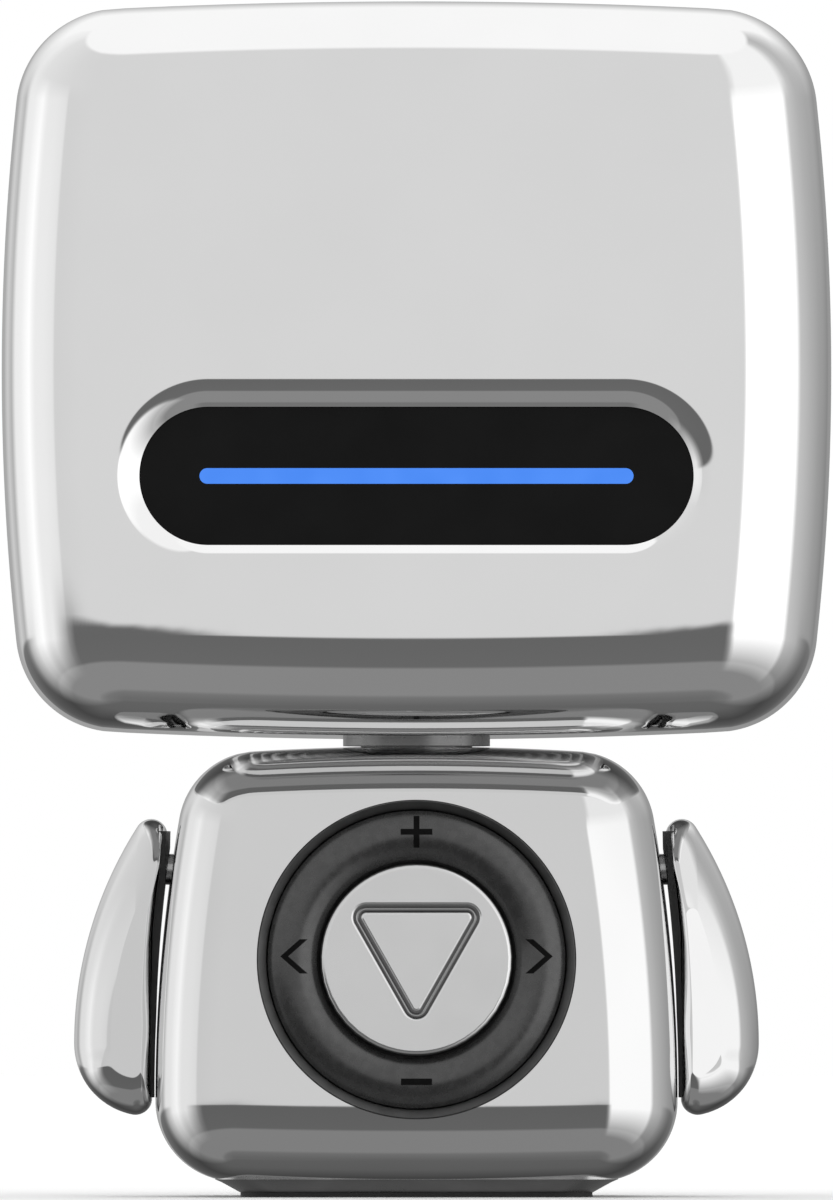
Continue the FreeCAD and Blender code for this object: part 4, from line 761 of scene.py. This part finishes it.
def arm_pad(side, name):
    """The dark pad on the arm's inner side, shaped to stay just clear of the torso as it swings."""
    heights = np.linspace(6.4, 23.6, 48)
    widths = np.linspace(-2.2, 2.2, 13)
    grid = []
    for z in heights:
        fall = z - SHOULDER_Z
        row = []
        for y in widths:
            nearest = -abs(y) if fall > 0 else -math.hypot(fall, y)
            gap = fall**2 + y**2 + BOW_DROP**2 + 2 * BOW_DROP * nearest
            by_torso = -TORSO_HALF[0] - PAD_ROOM + gap / (2 * TORSO_BOW_X)
            by_arm = ARM_INNER_X + PAD_PROUD + (z - ARM_INNER_Z) ** 2 / (2 * ARM_INNER_BOW)
            row.append((min(by_torso, by_arm), y, z))
        grid.append(row)
    count = len(widths)
    points = [point for row in grid for point in row]
    deep = len(points)
    centre, bow = ARM_INNER_BOW + ARM_INNER_X, ARM_INNER_BOW + PAD_SEAT
    for z in heights:
        seat_x = centre - math.sqrt(bow**2 - (z - ARM_INNER_Z) ** 2)
        points += [(seat_x, y, z) for y in widths]
    faces = []
    for start in (0, deep):
        for row in strip_faces(len(heights), count, closed=False):
            faces.append(tuple(start + corner for corner in row))
    last = len(heights) - 1
    rim = list(range(count))
    rim += [row * count + count - 1 for row in range(1, len(heights))]
    rim += [last * count + index for index in range(count - 2, -1, -1)]
    rim += [row * count for row in range(last - 1, 0, -1)]
    for index, corner in enumerate(rim):
        after = rim[(index + 1) % len(rim)]
        faces.append((corner, after, deep + after, deep + corner))
    piece = mesh_piece(f"{name}_pad", np.array(points) * (-side, 1, 1), faces, "plastic_black", None)
    point_outwards(piece)
    piece.data.set_sharp_from_angle(angle=math.radians(40))
    return piece


def arms():
    """Each arm's plated skin, closed all round, and the pad that stands out of its inner side."""
    for side, word in ((-1, "left"), (1, "right")):
        for piece, node, slot in (
            (arm(side, f"arm_{word}_shell"), f"arm_{word}_shell", "chrome"),
            (arm_pad(side, f"arm_{word}_liner"), f"arm_{word}_liner", "plastic_black"),
        ):
            place(piece, f"arm_{word}", node)


# ---------------------------------------------------------------- foot


def rounded_rectangle(half_x, half_y, radius, steps=12):
    """The XY outline of a rectangle with round corners."""
    made = []
    for side_x, side_y, start in ((1, 1, 0), (-1, 1, 90), (-1, -1, 180), (1, -1, 270)):
        for step in range(steps + 1):
            turn = math.radians(start + 90 * step / steps)
            made.append((side_x * (half_x - radius) + radius * math.cos(turn),
                         side_y * (half_y - radius) + radius * math.sin(turn)))
    return made


def foot():
    """The foot's flare: narrow at the sole, wider where it meets the torso."""
    corner = 2.4
    levels = [
        (0.3, 11.4, 6.0), (0.36, 11.5, 6.1), (0.95, 12.55, 7.1), (1.15, 13.0, 7.5), (1.5, 13.05, 7.55),
    ]
    points = []
    for z, half_x, half_y in levels:
        points += [(x, y, z) for x, y in rounded_rectangle(half_x, half_y, corner)]
    piece = layered_solid("foot_flare", points, len(points) // len(levels), "sole_chrome")
    piece.data.set_sharp_from_angle(angle=math.radians(50))
    place(piece, "torso", "foot_plate")


# ---------------------------------------------------------------- play button


def rounded_corners(corners, radius, arc_steps=14, run_steps=16):
    """Points and outward directions round a polygon whose corners are rolled."""
    made = []
    count = len(corners)
    for index in range(count):
        before, at, after = (Vector(corners[(index + step) % count]) for step in (-1, 0, 1))
        into, out = (at - before).normalized(), (after - at).normalized()
        turn = into.angle_signed(out)
        cut_back = radius * math.tan(abs(turn) / 2)
        normal_in = Vector((into.y, -into.x)) * (-1 if turn > 0 else 1)
        centre = at - into * cut_back - normal_in * radius
        first = math.atan2(normal_in.y, normal_in.x)
        for step in range(arc_steps + 1):
            way_angle = first - turn * step / arc_steps
            way = (math.cos(way_angle), math.sin(way_angle))
            made.append(((centre.x + radius * way[0], centre.y + radius * way[1]), way))
        following = Vector(corners[(index + 2) % count])
        next_turn = out.angle_signed((following - after).normalized())
        start = at + out * cut_back
        end = after - out * radius * math.tan(abs(next_turn) / 2)
        way = made[-1][1]
        for step in range(1, run_steps):
            place_on = start.lerp(end, step / run_steps)
            made.append(((place_on.x, place_on.y), way))
    return made


def play_button():
    """The round key: a flat satin face with a rolled rim and a U-shaped triangular groove."""
    face_y, back_y, radius, rim = -11.05, -9.6, 6.17, 0.32
    corners, corner_roll = [(-4.22, 3.28), (4.22, 3.28), (0.0, -4.16)], 0.58
    half_width, deep = 0.4, 0.3
    line = rounded_corners(corners, corner_roll)
    count = len(line)
    across = [half_width * (2 * step / 16 - 1) for step in range(17)]
    points, ways = [], []
    for offset in across:
        sunk = deep * (0.5 + 0.5 * math.cos(math.pi * offset / half_width))
        steep = -deep * 0.5 * math.pi / half_width * math.sin(math.pi * offset / half_width)
        for (x, z), (way_x, way_z) in line:
            points.append((x + way_x * offset, face_y + sunk, PAD_Z + z + way_z * offset))
            ways.append(tuple(Vector((steep * way_x, -1, steep * way_z)).normalized()))
    edge = [(x + way_x * half_width, z + way_z * half_width) for (x, z), (way_x, way_z) in line]
    turns = [math.atan2(z, x) for x, z in edge]
    flat_reach = radius - rim
    for share in (0.35, 0.7, 1.0):
        for (x, z), turn in zip(edge, turns):
            far_x, far_z = flat_reach * math.cos(turn), flat_reach * math.sin(turn)
            points.append((x + (far_x - x) * share, face_y, PAD_Z + z + (far_z - z) * share))
            ways.append((0, -1, 0))
    for step in range(1, 13):
        bend = math.pi / 2 * step / 12
        grown = flat_reach + rim * math.sin(bend)
        for turn in turns:
            way = (math.cos(turn), math.sin(turn))
            points.append((grown * way[0], face_y + rim * (1 - math.cos(bend)), PAD_Z + grown * way[1]))
            ways.append((way[0] * math.sin(bend), -math.cos(bend), way[1] * math.sin(bend)))
    points.extend((x, back_y, z) for x, y, z in points[-count:])
    ways.extend(ways[-count:])
    # the key's material paints shade into its groove and round its rolled rim
    piece = layered_solid("play_key", points, count, "key_silver_painted_shade")
    piece.data.polygons[-1].use_smooth = False
    piece.data.normals_split_custom_set_from_vertices(ways)
    place(piece, "play_button", "center_button")


# ---------------------------------------------------------------- studio: light, floor and camera


def studio_light():
    """A studio of big soft panels: grey in front, white on the right and above, dark below."""
    world = bpy.data.worlds.new("studio")
    bpy.context.scene.world = world
    tree = new_tree(world)
    out = add(tree, "ShaderNodeOutputWorld")
    coord = add(tree, "ShaderNodeTexCoord")
    parts = add(tree, "ShaderNodeSeparateXYZ")
    link(tree, coord, "Generated", parts, "Vector")

    def maths(operation, first, second=None, third=None):
        made = tree.nodes.new("ShaderNodeMath")
        made.operation = operation
        for socket, value in zip(made.inputs, (first, second, third)):
            if value is None:
                continue
            if isinstance(value, (int, float)):
                socket.default_value = value
            else:
                tree.links.new(value, socket)
        return made.outputs[0]

    x, y, z = (parts.outputs[axis] for axis in "XYZ")
    around = maths("ARCTAN2", x, maths("MULTIPLY", y, -1.0))
    turn = maths("MULTIPLY_ADD", around, 0.5 / math.pi, 0.5)
    rise = maths("MULTIPLY_ADD", maths("ARCSINE", z), 1 / math.pi, 0.5)

    def by_turn(stops):
        return ramp(tree, turn, [((angle + 180) / 360, value) for angle, value in stops])

    def by_rise(stops):
        return ramp(tree, rise, [((angle + 90) / 180, value) for angle, value in stops])

    def blend(factor, low, high):
        made = tree.nodes.new("ShaderNodeMix")
        made.data_type = "RGBA"
        tree.links.new(factor, made.inputs[0])
        tree.links.new(low, made.inputs[6])
        tree.links.new(high, made.inputs[7])
        return made.outputs[2]

    walls = by_turn([
        (-180, 0.32), (-150, 0.60), (-136, 0.44), (-126, 0.86), (-113, 0.90), (-104, 1.0), (-98, 1.06),
        (-93, 0.95), (-88, 0.87), (-75, 0.86), (-64, 0.82), (-62, 0.79), (-60, 0.66), (-30, 0.685),
        (19, 0.685), (21, 1.12), (86, 1.12), (92, 0.56), (130, 0.33), (160, 0.22), (180, 0.28),
    ])
    wall_tops = by_turn([
        (-180, 0.32), (-150, 0.55), (-126, 0.80), (-60, 0.70), (-30, 0.685),
        (19, 0.685), (26, 0.93), (86, 0.93), (100, 0.56), (130, 0.33), (160, 0.22), (180, 0.28),
    ])
    walls = blend(by_rise([(-90, 0.0), (6, 0.0), (24, 1.0)]), walls, wall_tops)
    ceiling = by_rise([(-90, 0.97), (90, 0.97)])
    floor_front = by_rise([(-90, 0.13), (-78, 0.18), (-74, 0.245), (-41, 0.245), (-38, 0.14), (0, 0.13)])
    floor_behind = by_rise([(-90, 0.13), (-70, 0.12), (-58, 0.09), (-45, 0.06), (-25, 0.1), (0, 0.2)])
    behind = by_turn([(-180, 1.0), (-140, 1.0), (-110, 0.0), (110, 0.0), (140, 1.0), (180, 1.0)])
    above_front = by_rise([(-90, 0.0), (62, 0.0), (65, 1.0)])
    above_behind = by_rise([(-90, 0.0), (0, 0.03), (25, 0.5), (42, 1.0)])
    upper = blend(blend(behind, above_front, above_behind), walls, ceiling)
    below = blend(behind, floor_front, floor_behind)
    in_front = by_rise([(-90, 0.0), (-6, 0.0), (-4, 1.0)])
    beside = by_rise([(-90, 0.0), (-52, 0.0), (-10, 1.0)])
    sides = by_turn([
        (-180, 0.0), (-140, 0.0), (-110, 1.0), (-80, 1.0), (-52, 0.0),
        (16, 0.0), (24, 1.0), (110, 1.0), (140, 0.0), (180, 0.0),
    ])
    studio = blend(blend(sides, in_front, beside), below, upper)
    lit = add(tree, "ShaderNodeBackground", Strength=1.0)
    tree.links.new(studio, lit.inputs["Color"])
    plain = add(tree, "ShaderNodeBackground", Strength=1.0)
    plain.inputs["Color"].default_value = (1.0, 1.0, 1.0, 1)
    seen = add(tree, "ShaderNodeLightPath")
    pick = add(tree, "ShaderNodeMixShader")
    link(tree, seen, "Is Camera Ray", pick, "Fac")
    tree.links.new(lit.outputs[0], pick.inputs[1])
    tree.links.new(plain.outputs[0], pick.inputs[2])
    link(tree, pick, "Shader", out, "Surface")


def floor():
    """A plain pale disc, which mirrors don't show."""
    mesh = bpy.data.meshes.new("floor")
    shape = bmesh.new()
    bmesh.ops.create_circle(shape, cap_ends=True, segments=96, radius=2.0)
    shape.to_mesh(mesh)
    shape.free()
    piece = bpy.data.objects.new("floor", mesh)
    bpy.context.collection.objects.link(piece)
    pale = finish_of(
        "pale_floor", grey(0.9), grey(0.91), (0.8, 0.9), 60, (6, 0.001), Specular_IOR_Level=0.0
    )
    mesh.materials.append(pale)
    piece.visible_glossy = False


def overhead_light():
    """Even, very soft light from above. It only lights what isn't mirror-like."""
    lamp = bpy.data.lights.new("overhead", "SUN")
    lamp.energy = 1.05
    lamp.angle = math.radians(90)
    made = bpy.data.objects.new("overhead", lamp)
    bpy.context.collection.objects.link(made)
    made.rotation_euler = (math.radians(-12), math.radians(-8), 0)
    made.visible_glossy = False


def camera():
    """A long lens far in front, low down, which looks up a little."""
    lens = bpy.data.cameras.new("camera")
    made = bpy.data.objects.new("camera", lens)
    bpy.context.collection.objects.link(made)
    bpy.context.scene.camera = made
    away = 1.6
    frame_height = 77.58 * MM
    lens.sensor_width = 36
    lens.lens = lens.sensor_width * away / frame_height
    aim = Vector((0, 0, 38.55 * MM))
    made.location = (0, -away, 14 * MM)
    made.rotation_euler = (aim - made.location).to_track_quat("-Z", "Y").to_euler()
    lens.clip_start = 0.05
    lens.clip_end = 10


head_casing()
torso_casing()
arms()
foot()
play_button()
studio_light()
floor()
overhead_light()
camera()
bpy.context.scene.view_settings.view_transform = "Standard"
bpy.context.scene.view_settings.look = "None"
# the casings mirror each other across the neck gap many times over
bpy.context.scene.cycles.max_bounces = 24
bpy.context.scene.cycles.glossy_bounces = 24
